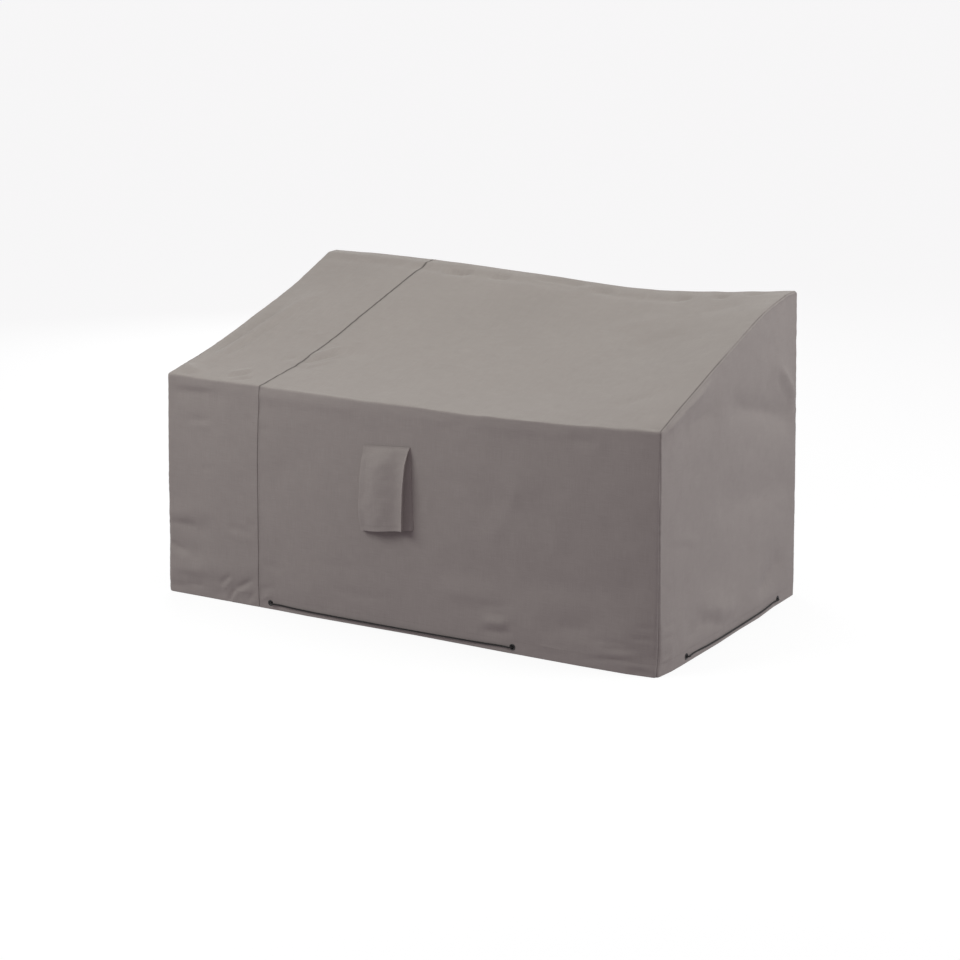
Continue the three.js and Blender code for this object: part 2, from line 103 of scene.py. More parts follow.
CORD_DIAMETER = 0.005
LONG_CORD = table("along out z", [
    (-0.4314, -0.004, 0.019), (-0.4314, 0.0005, 0.019), (-0.4301, 0.0055, 0.019), (-0.4264, 0.0092, 0.0188),
    (-0.4214, 0.0105, 0.0186), (-0.414, 0.0083, 0.0182), (-0.401, 0.0064, 0.0176), (-0.36, 0.008, 0.0164),
    (-0.3, 0.01, 0.0153), (-0.18, 0.0102, 0.0143), (-0.06, 0.0106, 0.014), (0.06, 0.0111, 0.0142),
    (0.18, 0.0117, 0.015), (0.29, 0.0123, 0.0163), (0.341, 0.013, 0.0176), (0.354, 0.0153, 0.0182),
    (0.3614, 0.0175, 0.0186), (0.3664, 0.0162, 0.0188), (0.3701, 0.0125, 0.019), (0.3714, 0.0075, 0.019),
    (0.3714, 0.003, 0.019),
])
END_CORD = table("along out z", [
    (0.1546, 0.003, 0.019), (0.1546, 0.0075, 0.019), (0.1559, 0.0125, 0.019), (0.1596, 0.0162, 0.0188),
    (0.1646, 0.0175, 0.0186), (0.172, 0.0153, 0.0182), (0.185, 0.0131, 0.0176), (0.29, 0.0138, 0.0154),
    (0.364, 0.0141, 0.0148), (0.44, 0.0133, 0.0147), (0.52, 0.0125, 0.0149), (0.59, 0.0122, 0.0156),
    (0.64, 0.012, 0.0163), (0.7, 0.0084, 0.0172), (0.744, 0.0054, 0.0178), (0.757, 0.0065, 0.0182),
    (0.7644, 0.0085, 0.0186), (0.7694, 0.0072, 0.0188), (0.7731, 0.0035, 0.019), (0.7744, -0.0015, 0.019),
    (0.7744, -0.006, 0.019),
])

# Size of the cover

WIDTH = 1600  # from end to end at the hem
DEPTH = 900  # from front face to back face at the hem
FRONT_FACE_Y = -439
BACK_FACE_Y = FRONT_FACE_Y + DEPTH
HEM = 40  # height of the stiff hem, which hangs upright
LEAN = 0.016  # how far an upright face leans in, for each millimetre above the hem

# Each side's frame on the hem: where its straight line starts, the way along it and the way out

SIDES = {
    "front": ((0, FRONT_FACE_Y), (1, 0), (0, -1)),
    "back": ((0, BACK_FACE_Y), (1, 0), (0, 1)),
    "right": ((WIDTH / 2, FRONT_FACE_Y), (0, 1), (1, 0)),
    "left": ((-WIDTH / 2, FRONT_FACE_Y), (0, 1), (-1, 0)),
}


def place_on_side(side, along, out):
    """X and Y in metres of places along a side, with along and out in metres."""
    start, way, outward = (np.array(v, float) for v in SIDES[side])
    return start * MM + np.multiply.outer(along, way) + np.multiply.outer(out, outward)


def cord_route(rows, side):
    return np.column_stack([place_on_side(side, rows["along"], rows["out"]), rows["z"]])


def new_object(name, mesh, material):
    thing = bpy.data.objects.new(name, mesh)
    bpy.context.scene.collection.objects.link(thing)
    thing.data.materials.append(material)
    return thing


def mesh_of(name, points, faces):
    mesh = bpy.data.meshes.new(name)
    mesh.from_pydata(np.asarray(points).tolist(), [], faces)
    mesh.shade_smooth()
    return mesh


# Braided cord: a tube whose surface rises where its strands cross over

BRAID_SIDES = 24
BRAID_STEP = 0.0012  # along the cord
BRAID_STRANDS = 4  # that run each way round
BRAID_TURN = 0.011  # length over which a strand goes once round
BRAID_DEPTH = 0.00035


def resample(points, step):
    """Evenly spaced points on a smooth curve through the given ones, and their distances along it."""
    chords = lengths_along(points)
    fine = np.linspace(0, chords[-1], int(chords[-1] / step) * 2)
    steep = np.gradient(points, chords, axis=0)
    k = np.clip(np.searchsorted(chords, fine, side="right") - 1, 0, len(chords) - 2)
    span = (chords[k + 1] - chords[k])[:, None]
    t = (fine[:, None] - chords[k][:, None]) / span
    curve = lerp(points[k], points[k + 1], smooth(t))
    curve += t * (1 - t) ** 2 * steep[k] * span - t**2 * (1 - t) * steep[k + 1] * span
    lengths = lengths_along(curve)
    even = np.linspace(0, lengths[-1], int(lengths[-1] / step) + 1)
    return along_path(lengths, curve, even), even


def tube_faces(rings, sides):
    index = np.arange(rings * sides).reshape(rings, sides)
    turned = np.roll(index, -1, axis=1)
    walls = np.stack([index[:-1], turned[:-1], turned[1:], index[1:]], -1).reshape(-1, 4).tolist()
    return walls + [index[0][::-1].tolist(), index[-1].tolist()]


def circles_round(ahead, up, sides):
    """Circles of radius 1 across the directions ahead, and the angles of their points."""
    turn = np.linspace(0, 2 * math.pi, sides, endpoint=False)
    aside = np.cross(up, ahead)
    return np.cos(turn)[None, :, None] * aside[:, None] + np.sin(turn)[None, :, None] * up[:, None], turn


def braided_tube(name, route):
    path, along = resample(route, BRAID_STEP)
    ahead = unit(np.gradient(path, axis=0))
    up = unit(np.array([0, 0, 1.0]) - ahead * ahead[:, 2:3])
    ring, turn = circles_round(ahead, up, BRAID_SIDES)
    wound = 2 * math.pi * along[:, None] / BRAID_TURN
    ways = [np.cos(BRAID_STRANDS / 2 * (turn[None] + way * wound)) ** 2 for way in (1, -1)]
    radius = CORD_DIAMETER / 2 - BRAID_DEPTH * (1 - np.maximum(*ways))
    points = path[:, None] + radius[..., None] * ring
    return mesh_of(name, points.reshape(-1, 3), tube_faces(len(path), BRAID_SIDES)), path


# Materials, each from nodes alone

CLOTH_COLOR = (0.330, 0.292, 0.272, 1)
THREAD_COLOR = (0.27, 0.235, 0.22, 1)
BLACK_BRAID = (0.016, 0.0138, 0.013, 1)
BLACK_PAINT = (0.012, 0.0105, 0.010, 1)
WEAVE_PITCH = 0.0011  # of two neighbouring threads
THREADS = (900, 18)  # how often a thread's shade changes in a metre, across it and along it
SLUBS = 0.045  # by this share
SLUB_RELIEF = 4.0  # how much of it shows as relief
CLOUDS = ((2.4, 3.0, 0.5, 0.03), (38.0, 4.0, 0.6, 0.022))  # mottling: scale, detail, roughness and share
# painted highlight and shade on the weave: its crossings' tops paler and the dips between them darker
PAINTED_CROSSING_LIGHT = 0.04  # share by which the threads' tops are paler
NOISE_RANGE = (0.25, 0.75)  # nearly all of a noise node's values lie between these
WEAVE_MAP = "Weave"
# attribute with the darkening along the seams: dust, and painted shade in their grooves
SEAM_SHADE = "seam_shade"


class Nodes:
    """Short names for making a material's nodes."""

    def __init__(self, name):
        self.material = bpy.data.materials.new(name)
        self.material.use_nodes = True
        self.tree = self.material.node_tree
        self.shader = self.tree.nodes["Principled BSDF"]

    def fill(self, sockets, inputs):
        for key, value in inputs.items():
            if isinstance(value, bpy.types.NodeSocket):
                self.tree.links.new(value, sockets[key])
            else:
                sockets[key].default_value = value

    def set(self, **inputs):
        self.fill(self.shader.inputs, {key.replace("_", " "): value for key, value in inputs.items()})

    def add(self, kind, inputs, **settings):
        node = self.tree.nodes.new("ShaderNode" + kind)
        for key, value in settings.items():
            setattr(node, key, value)
        self.fill(node.inputs, inputs)
        return node.outputs

    def place(self):
        return self.add("TexCoord", {})["Object"]

    def math(self, operation, a, b=0.0):
        return self.add("Math", {0: a, 1: b}, operation=operation)[0]

    def noise(self, where, scale, detail=2.0, rough=0.5):
        inputs = {"Vector": where, "Scale": scale, "Detail": detail, "Roughness": rough}
        return self.add("TexNoise", inputs)["Fac"]

    def spread(self, value, low, high):
        ends = zip(("From Min", "From Max", "To Min", "To Max"), (*NOISE_RANGE, low, high))
        return self.add("MapRange", {"Value": value, **dict(ends)})["Result"]

    def tint(self, color, value):
        return self.add("HueSaturation", {"Value": value, "Color": color})["Color"]

    def bump(self, height, distance, strength, below=None):
        inputs = {"Height": height, "Distance": distance, "Strength": strength}
        if below:
            inputs["Normal"] = below
        return self.add("Bump", inputs)["Normal"]


def cloth_material():
    """Matt woven polyester: plain weave with painted light on its crossings, slubby threads, soft mottling,
    and dust and painted shade in the seams.
    """
    n = Nodes("cover_cloth")
    place = n.place()
    weave = n.add("UVMap", {}, uv_map=WEAVE_MAP)["UV"]
    parts = n.add("SeparateXYZ", {0: weave})
    waves = [n.math("SINE", n.math("MULTIPLY", parts[i], math.pi / WEAVE_PITCH)) for i in (0, 1)]
    crossing = n.math("MULTIPLY", *waves)
    grains = ((*THREADS, 1), (*THREADS[::-1], 1))
    threads = [n.add("Mapping", {"Vector": weave, "Scale": grain})[0] for grain in grains]
    shades = [n.noise(thread, scale=1.0, detail=1.0) for thread in threads]
    slubs = n.math("ADD", *[n.spread(shade, -SLUBS, SLUBS) for shade in shades])
    clouds = n.math("ADD", *[n.spread(n.noise(place, *size), -share, share) for *size, share in CLOUDS])
    # the crossings' painted highlight and shade, with the slubs and the mottling, set the cloth's tone
    lift = n.math("ADD", n.math("MULTIPLY", crossing, PAINTED_CROSSING_LIGHT), n.math("ADD", slubs, clouds))
    # dust and painted shade along the seams darken the cloth
    dust_and_shade = n.add("Attribute", {}, attribute_name=SEAM_SHADE)["Fac"]
    value = n.math("SUBTRACT", n.math("ADD", lift, 1.0), dust_and_shade)
    crumple = n.bump(n.noise(place, scale=24.0, detail=4.0, rough=0.55), distance=0.0012, strength=0.5)
    height = n.math("ADD", crossing, n.math("MULTIPLY", slubs, SLUB_RELIEF))
    relief = n.bump(height, distance=0.00012, strength=0.6, below=crumple)
    n.set(Base_Color=n.tint(CLOTH_COLOR, value), Normal=relief, Specular_IOR_Level=0.32,
          Roughness=n.spread(n.noise(place, scale=60.0), low=0.80, high=0.92),
          Sheen_Weight=0.16, Sheen_Roughness=0.45, Sheen_Tint=(0.95, 0.92, 0.9, 1))
    return n.material


def braid_material():
    """Dull black braid with paler, worn strand tops."""
    n = Nodes("drawcord_black")
    fuzz = n.noise(n.place(), scale=900.0, detail=3.0, rough=0.6)
    n.set(Base_Color=n.tint(BLACK_BRAID, n.spread(fuzz, low=0.7, high=1.5)), Roughness=0.78,
          Normal=n.bump(fuzz, distance=0.0002, strength=0.5), Sheen_Weight=0.2, Specular_IOR_Level=0.3)
    return n.material


def paint_material():
    """Black enamel on pressed metal, slightly uneven and rubbed."""
    n = Nodes("eyelet_black")
    rub = n.noise(n.place(), scale=420.0, detail=4.0, rough=0.6)
    n.set(Base_Color=n.tint(BLACK_PAINT, n.spread(rub, low=0.8, high=1.35)), Specular_IOR_Level=0.5,
          Roughness=n.spread(rub, low=0.34, high=0.52), Normal=n.bump(rub, distance=0.0001, strength=0.3))
    return n.material


def thread_material():
    n = Nodes("sewing_thread")
    specks = n.spread(n.noise(n.place(), scale=300.0), low=0.85, high=1.15)
    n.set(Base_Color=n.tint(THREAD_COLOR, specks), Roughness=0.7, Specular_IOR_Level=0.3)
    return n.material


CLOTH_LOOK = cloth_material()
BRAID_LOOK = braid_material()
PAINT_LOOK = paint_material()
THREAD_LOOK = thread_material()


def make_cord(side, rows):
    mesh, path = braided_tube(f"cord_{side}", cord_route(rows, side))
    cord = new_object(f"cord_{side}", mesh, BRAID_LOOK)
    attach(cord, "root")
    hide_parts(f"drawcord_{side}")


for side, rows in (("front", LONG_CORD), ("back", LONG_CORD), ("right", END_CORD), ("left", END_CORD)):
    make_cord(side, rows)

# Cloth

CLOTH = 1.0  # thickness of the sheet
JOIN_X = -470  # the seam between the narrow left cloth and the main cloth, on the front
JOIN_DRIFT = 45  # how far that seam has moved to the right by the time it reaches the back edge
JOIN_DRIFT_REACH = 330  # the cloth beside the seam moves with it, less and less over this width
RIDGE_ROUND = 14  # how softly the back edge turns
END_ROUND = 7  # how softly the bands turn into the end panels, at the top
END_ROUND_AT_HEM = 15
END_ROUND_SETTLES = 600  # height above which the turn has its smaller radius
SEAM_ANGLE = 50  # place of the end seam on that turn, in degrees
FLARE_ENDS = 210  # height at which the hem's standing out has died away

# The top, in sections across the cover: the heights of the front edge, of the slope at each quarter of the
# depth, of the fold in front of the flat strip along the back edge, and of that edge, called ridge. strip is
# the flat strip's depth, and round is how softly the front edge turns.

SECTIONS = table("across edge quarter half three_quarter strip_edge ridge strip round", [
    (-800, 653, 701, 760, 830, 897, 900, 48, 7),
    (-470, 647, 693, 758, 836, 895, 899, 52, 6),
    (-120, 644, 684, 746, 818, 878, 885, 60, 5),
    (290, 642, 680, 739, 806, 859, 868, 58, 5),
    (560, 648, 697, 757, 822, 868, 877, 56, 6),
    (800, 656, 731, 806, 872, 898, 900, 72, 10),
])

# How far the hem stands out from a straight line between the corners

LONG_HEM = table("along out", [
    (-800, 0), (-451, 3), (-411, 3), (-300, 7), (60, 4), (351, 10), (391, 10), (560, 12), (710, 9), (800, 0),
])
END_HEM = table("along out", [
    (0, 0), (70, 8), (130, 10), (180, 10), (364, 11), (503, 8), (633, 9), (749, 1), (800, 1), (900, 0),
])

# Soft folds. Each runs from (u1, v1) to (u2, v2), half is its half width, and height is how far it stands
# out. On the front and back, u is x and v is z. On the slope, u is x and v is the depth from the front
# face. On an end, u is that depth and v is z.

FOLD = "u1 v1 u2 v2 half height"
FRONT_FOLDS = table(FOLD, [
    (170, 150, 300, 155, 34, 4),
    (240, 118, 350, 132, 34, -1.5),
    (500, 98, 600, 108, 40, -5),
    (385, 490, 290, 290, 44, 2),
    (315, 405, 430, 396, 46, -4),
    (440, 215, 700, 235, 50, -4),
    (-790, 214, -680, 208, 34, -5),
    (-790, 250, -690, 244, 34, 4),
    (-790, 144, -700, 126, 32, -5),
    (-790, 96, -650, 92, 36, 4),
    (-600, 84, -500, 104, 34, 3),
    (-765, 600, -620, 606, 34, -4),
    (-740, 628, -520, 622, 12, 1.2),
    (-450, 621, -160, 615, 16, 2.6),
    (-60, 620, 160, 615, 12, 1.2),
    (240, 616, 520, 620, 13, 1.6),
])
BACK_FOLDS = table(FOLD, [
    (-620, 470, -180, 250, 80, -5),
    (120, 560, 600, 300, 90, -6),
    (330, 700, 640, 640, 60, 4),
    (-300, 130, 260, 105, 45, -5),
])
SLOPE_FOLDS = table(FOLD, [
    (-705, 150, -672, 560, 36, 5),
    (-430, 170, -340, 300, 36, -4),
    (330, 640, 520, 470, 80, -5),
    (-60, 560, 160, 600, 90, -4),
    (-760, 808, -500, 812, 22, -4),
    (-440, 808, 100, 818, 22, -5),
    (180, 816, 430, 810, 22, -4),
])
END_FOLDS = table(FOLD, [
    (760, 700, 905, 572, 34, 5),
    (690, 655, 800, 560, 44, -3),
    (490, 632, 820, 545, 46, -9),
    (190, 625, 330, 650, 46, -6),
    (420, 390, 820, 345, 60, -6),
    (660, 80, 760, 125, 42, -7),
    (200, 78, 290, 92, 42, -4.5),
    (300, 120, 420, 80, 42, 6),
])
FOLD_FADE = 50  # soft folds die away over this length towards an end seam
CREASE_FADE = 16  # and creases and ripples over this one

# Finer creases, each on a curve through three places, dying away at both ends

CREASE = "u1 v1 u2 v2 u3 v3 half height"
FRONT_CREASES = table(CREASE, [
    (150, 138, 230, 141, 318, 134, 13, 1.2),
    (262, 122, 310, 124, 362, 133, 10, -1.3),
    (272, 84, 318, 80, 362, 84, 15, 7.0),
    (262, 55, 322, 51, 376, 58, 12, -5.5),
    (300, 100, 330, 104, 352, 98, 6, -1.6),
    (318, 44, 340, 50, 362, 46, 6, 1.8),
    (500, 101, 552, 98, 604, 106, 16, -2.2),
    (560, 17, 650, 29, 742, 39, 7, -3.0),
    (640, 60, 700, 64, 760, 70, 8, -2.4),
    (600, 44, 680, 49, 752, 56, 9, 2.4),
    (440, 40, 500, 34, 560, 38, 8, 2.2),
    (590, 72, 660, 79, 740, 75, 8, -2.0),
    (700, 20, 745, 25, 790, 20, 6, 2.8),
    (716, 96, 752, 100, 792, 97, 6, -2.4),
    (726, 7, 760, 10, 796, 6, 5, -2.6),
    (736, 128, 766, 132, 796, 130, 6, -1.8),
    (520, 612, 572, 607, 622, 612, 13, -3.0),
    (12, 568, 34, 561, 58, 556, 10, 1.6),
    (40, 546, 68, 539, 92, 531, 9, -1.5),
    (386, 492, 344, 376, 276, 296, 16, 1.1),
    (-768, 608, -700, 606, -618, 616, 9, -3.2),
    (-772, 624, -690, 622, -610, 628, 10, 1.8),
    (-730, 523, -684, 527, -622, 533, 8, -2.6),
    (-716, 508, -672, 513, -628, 517, 9, 1.8),
    (-676, 392, -650, 389, -622, 391, 6, -2.0),
    (-797, 223, -764, 208, -682, 213, 8, -3.8),
    (-797, 246, -750, 233, -690, 233, 10, 2.2),
    (-797, 154, -766, 139, -720, 128, 8, -3.4),
    (-797, 124, -756, 113, -712, 104, 12, 2.4),
    (-797, 80, -730, 74, -650, 80, 18, 3.4),
    (-799, 26, -770, 20, -718, 25, 8, -3.6),
    (-734, 36, -700, 31, -656, 42, 12, -3.0),
    (-612, 44, -592, 64, -564, 86, 6, -3.4),
    (-604, 30, -580, 52, -554, 74, 7, 2.6),
    (-584, -6, -568, 24, -549, 52, 6, -5.0),
    (-572, -8, -556, 20, -540, 44, 7, 2.4),
    (-556, 44, -526, 58, -482, 86, 7, -5.0),
    (-552, 26, -524, 40, -494, 50, 9, 3.0),
    (-512, 8, -499, 28, -480, 47, 5, -2.8),
    (-502, 0, -490, 12, -474, 18, 5, 2.6),
    (-640, 12, -612, 20, -588, 14, 7, -2.0),
    (-582, 228, -530, 223, -478, 215, 8, -2.0),
    (-586, 205, -530, 199, -480, 196, 10, 1.6),
    (-520, 560, -496, 548, -474, 534, 7, -1.8),
    (-510, 246, -492, 242, -474, 232, 6, -2.0),
    (-466, 14, -452, 30, -424, 42, 6, 2.4),
    (-466, 50, -440, 62, -400, 66, 8, -2.2),
    (-466, 534, -448, 528, -426, 530, 7, -1.6),
    (-466, 118, -424, 128, -380, 122, 12, -1.0),
    (-300, 172, -210, 160, -120, 166, 20, -1.6),
    (-240, 96, -120, 88, 10, 94, 18, -1.8),
    (420, 262, 560, 240, 700, 250, 26, 1.6),
    (620, 408, 690, 372, 760, 352, 22, -1.6),
    (-420, 452, -330, 420, -230, 418, 30, -1.2),
    (120, 470, 220, 452, 330, 470, 30, -1.2),
])
SLOPE_CREASES = table(CREASE, [
    (-730, 110, -712, 330, -678, 600, 13, 7.5),
    (-758, 150, -742, 330, -716, 540, 15, -5.0),
    (-700, 120, -684, 300, -654, 520, 10, -5.0),
    (-780, 90, -746, 62, -700, 44, 14, 7.0),
    (-770, 40, -740, 30, -706, 24, 9, -4.0),
    (-604, 46, -578, 68, -548, 98, 8, -6.0),
    (-618, 64, -588, 86, -560, 114, 9, 5.0),
    (-576, 30, -548, 44, -520, 66, 8, -4.4),
    (-524, 202, -500, 214, -480, 228, 10, -3.4),
    (-576, 360, -560, 376, -546, 392, 14, 3.2),
    (-514, 354, -500, 368, -488, 382, 12, 3.2),
    (-452, 190, -414, 240, -366, 290, 6, -6.5),
    (-440, 216, -402, 262, -370, 290, 6, -3.0),
    (-458, 226, -420, 276, -384, 324, 8, 5.0),
    (-430, 170, -390, 214, -346, 256, 8, 3.0),
    (20, 300, 90, 420, 130, 560, 40, -2.6),
    (452, 500, 500, 560, 580, 590, 34, -3.4),
    (560, 700, 620, 742, 690, 752, 30, -3.0),
    (300, 620, 380, 650, 470, 700, 34, 2.8),
    (-346, 806, -300, 812, -236, 816, 14, -14.0),
    (-190, 812, -150, 818, -110, 818, 12, -10.0),
    (-60, 838, 40, 844, 160, 842, 12, -9.0),
    (150, 820, 190, 826, 240, 822, 12, -9.0),
    (-430, 824, -330, 836, -230, 842, 9, -4.0),
    (560, 130, 660, 190, 760, 300, 26, -2.4),
    (746, 26, 766, 21, 788, 18, 5, -5.0),
    (426, 814, 458, 820, 494, 818, 12, -9.0),
    (544, 824, 574, 829, 606, 826, 11, -8.0),
    (650, 834, 678, 840, 706, 841, 10, -7.0),
])
BACK_CREASES = table(CREASE, [
    (-700, 640, -560, 600, -420, 610, 18, -2.2),
    (-760, 320, -640, 300, -540, 322, 16, 2.0),
    (-420, 520, -300, 430, -220, 300, 22, 2.4),
    (60, 610, 200, 520, 330, 470, 20, -2.4),
    (420, 300, 560, 282, 720, 300, 18, -2.2),
    (520, 180, 640, 166, 760, 182, 14, 2.0),
    (-160, 200, 0, 186, 150, 198, 18, 1.8),
    (-60, 760, 90, 742, 240, 748, 22, -1.8),
    (640, 620, 700, 560, 740, 470, 16, 1.8),
    (-730, 120, -660, 104, -600, 112, 12, -1.8),
])
END_CREASES = table(CREASE, [
    (756, 706, 826, 646, 912, 562, 9, 5.0),
    (736, 680, 796, 628, 880, 548, 12, -2.8),
    (470, 640, 600, 606, 760, 566, 16, -3.6),
    (460, 608, 590, 574, 700, 556, 20, 1.6),
    (4, 642, 160, 688, 340, 744, 16, 9.0),
    (190, 630, 260, 644, 340, 658, 18, -2.8),
    (640, 596, 740, 566, 850, 536, 18, -3.0),
    (400, 800, 470, 838, 540, 862, 9, 3.2),
    (56, 356, 150, 338, 272, 300, 12, 1.6),
    (60, 334, 150, 318, 260, 282, 12, -1.4),
    (470, 372, 620, 352, 820, 346, 24, -1.8),
    (640, 78, 700, 96, 748, 128, 16, -3.0),
    (230, 84, 300, 76, 372, 66, 13, -2.8),
    (300, 66, 356, 56, 404, 36, 10, -2.2),
    (250, 112, 330, 106, 400, 84, 12, 2.4),
    (20, 136, 60, 128, 110, 132, 7, -2.2),
    (16, 60, 40, 54, 78, 58, 5, -1.8),
    (16, 92, 44, 98, 90, 94, 6, -2.0),
    (16, 34, 36, 28, 70, 30, 5, -1.8),
    (560, 232, 680, 214, 780, 226, 16, 1.4),
    (140, 520, 260, 506, 380, 522, 24, -1.4),
    (740, 300, 800, 268, 868, 262, 14, -1.6),
    (600, 790, 690, 770, 760, 742, 18, -1.4),
])
HIDDEN_END_CREASES = table(CREASE, [
    (700, 700, 780, 640, 860, 600, 22, 2.4),
    (420, 560, 560, 540, 700, 556, 28, -2.4),
    (60, 470, 170, 440, 300, 452, 26, 1.8),
    (330, 300, 480, 262, 660, 270, 30, -2.2),
    (560, 110, 660, 96, 760, 118, 20, 2.0),
    (90, 120, 180, 104, 280, 112, 18, -2.0),
])
CREASE_STEPS = 6
CREASE_SHARPNESS = 1.6
CREASE_TAPER = 0.3  # share of a crease's length over which each end dies away
FLAT_X = (-150, 95)  # the front lies flat behind the hood
FLAT_Z = (262, 556)
FLAT_FADE = 45


def lean_at(z):
    return LEAN * np.maximum(z - HEM, 0)


def front_face(z):
    return FRONT_FACE_Y + lean_at(z)


def back_face(z):
    return BACK_FACE_Y - lean_at(z)


def end_face(z):
    return WIDTH / 2 - lean_at(z)


def on_curve(knots, values, at):
    """Smooth curve through values at knots. Both are lists of numbers, or of arrays shaped like at."""
    at = np.asarray(at, float)
    knots, values = (np.stack([np.broadcast_to(row, at.shape) for row in rows]).astype(float)
                     for rows in (knots, values))
    last = len(knots) - 1

    def pick(rows, i):
        return np.take_along_axis(rows, np.clip(i, 0, last)[None], 0)[0]

    def steepness(i):
        before, after = np.maximum(i - 1, 0), np.minimum(i + 1, last)
        return (pick(values, after) - pick(values, before)) / (pick(knots, after) - pick(knots, before))

    k = (knots[1:-1] <= at).sum(0)
    span = pick(knots, k + 1) - pick(knots, k)
    t = np.clip((at - pick(knots, k)) / span, 0, 1)
    lead = t * (1 - t) ** 2 * steepness(k) * span
    tail = t**2 * (1 - t) * steepness(k + 1) * span
    return lerp(pick(values, k), pick(values, k + 1), smooth(t)) + lead - tail


def flare(hem, along, z):
    """Standing out of the hem at a place along it, and less higher up."""
    return np.interp(along, hem["along"], hem["out"]) * (1 - smooth((z - HEM) / (FLARE_ENDS - HEM)))


def near_line(u, v, u1, v1, u2, v2):
    """Distance to a straight line between two places, and the share of the way along it."""
    du, dv = u2 - u1, v2 - v1
    share = np.clip(((u - u1) * du + (v - v1) * dv) / (du * du + dv * dv), 0, 1)
    return np.hypot(u - u1 - share * du, v - v1 - share * dv), share


def folds_at(folds, u, v):
    """Sum of the soft folds."""
    total = np.zeros(np.shape(u))
    for u1, v1, u2, v2, half, height in zip(*folds.values()):
        away, _ = near_line(u, v, u1, v1, u2, v2)
        total += height * np.exp(-((away / half) ** 2))
    return total


def crease_curve(start, middle, end):
    """Places on a curve from start to end that passes through middle."""
    t = np.linspace(0, 1, CREASE_STEPS + 1)[:, None]
    start, middle, end = (np.array(p, float) for p in (start, middle, end))
    pull = 2 * middle - (start + end) / 2
    return (1 - t) ** 2 * start + 2 * t * (1 - t) * pull + t**2 * end


def creases_at(creases, u, v):
    """Sum of the finer creases."""
    total = np.zeros(np.shape(u))
    for u1, v1, u2, v2, u3, v3, half, height in zip(*creases.values()):
        curve = crease_curve((u1, v1), (u2, v2), (u3, v3))
        low, high = curve.min(0) - 3 * half, curve.max(0) + 3 * half
        near = (u > low[0]) & (u < high[0]) & (v > low[1]) & (v < high[1])
        best, place = np.full(near.sum(), np.inf), np.zeros(near.sum())
        for k, (a, b) in enumerate(zip(curve, curve[1:])):
            away, share = near_line(u[near], v[near], *a, *b)
            closer = away < best
            best[closer] = away[closer]
            place[closer] = (k + share[closer]) / CREASE_STEPS
        taper = smooth(place / CREASE_TAPER) * smooth((1 - place) / CREASE_TAPER)
        total[near] += height * taper * np.exp(-((best / half) ** CREASE_SHARPNESS))
    return total


LATTICE = 256  # numbers along each side of the noise's square, after which it repeats


def noise(u, v, length, seed):
    """Smooth noise between -1 and 1, with bumps of about that length."""
    heights = np.random.default_rng(seed).uniform(-1, 1, (LATTICE, LATTICE))
    a, b = np.asarray(u) / length, np.asarray(v) / length
    i, j = np.floor(a).astype(int), np.floor(b).astype(int)
    s, t = smooth(a - i), smooth(b - j)

    def at(di, dj):
        return heights[(i + di) % LATTICE, (j + dj) % LATTICE]

    return lerp(lerp(at(0, 0), at(1, 0), s), lerp(at(0, 1), at(1, 1), s), t)


# Unevenness of the cloth: bumps of each length, and how far they stand out

RIPPLES = table("length height", [(230, 1.8), (95, 0.85), (42, 0.32), (19, 0.09)])
RIPPLE_TURN = 0.6  # direction of the first size in radians. Each further size is turned by 1 more.
RIPPLE_NARROW = 1.7  # they are this much longer than wide


def ripples(u, v, seed):
    total = np.zeros(np.shape(u))
    for k, (length, height) in enumerate(zip(*RIPPLES.values())):
        turn = RIPPLE_TURN + k
        along, across = u * math.cos(turn) + v * math.sin(turn), v * math.cos(turn) - u * math.sin(turn)
        total += height * noise(along, across * RIPPLE_NARROW, length, seed + k)
    return total


def away_from_hood(x, z):
    """0 behind the hood and 1 well away from it."""
    aside, above = (np.maximum(np.maximum(low - at, at - high), 0)
                    for at, (low, high) in ((x, FLAT_X), (z, FLAT_Z)))
    return smooth(np.hypot(aside, above) / FLAT_FADE)


# Seams. The cloth on top has its edge turned under, and the cloth below dips under it. Both draw up into
# small puckers along the stitches.

SEAM_EDGE = 0.7  # how far the upper cloth's edge is drawn down
SEAM_ROLL = 1.3  # over this width
SEAM_RIDGE = 0.5  # the layers under the stitches lift the cloth this much
SEAM_RIDGE_AT = 4.5
SEAM_RIDGE_HALF = 3.2
SEAM_DIP = 2.3  # the lower cloth's depth under the upper one
END_SEAM_DIP = 1.1
SEAM_DIP_AT = 0.3  # from here on it rises
SEAM_DIP_WIDTH = 2.4  # over this width
LOWER_RIDGE = 0.3  # share of the ridge that the lower cloth has
LAP = 8  # width of the lower cloth under the upper one
PUCKER = 1.35
END_PUCKER = 0.75
PUCKER_REACH = 19
PUCKER_LENGTH = 11
LONG_PUCKER = 2.6  # others are this much longer
LONG_PUCKER_SHARE = 0.6  # and have this share of the height
PUCKER_SPELL = 90  # length over which puckers get stronger and weaker
PUCKER_LEAST = 0.35  # share of their height that is left where they are weakest
JOIN_SEED = 51
END_SEAM_SEED = {1: 62, -1: 61}

# Dust and painted shade in a seam darken it by a share of the cloth's brightness, most of all on the slope.
# Each pair of numbers is for the front and the slope.

JOIN_DUST_AND_SHADE = (0.24, 0.68)
JOIN_DUST_AND_SHADE_WIDTH = (1.9, 3.2)
END_DUST_AND_SHADE = (0.05, 0.55)
END_DUST_AND_SHADE_WIDTH = 2.6
PANEL_DUST_AND_SHADE = 0.04
PANEL_DUST_AND_SHADE_WIDTH = 1.9
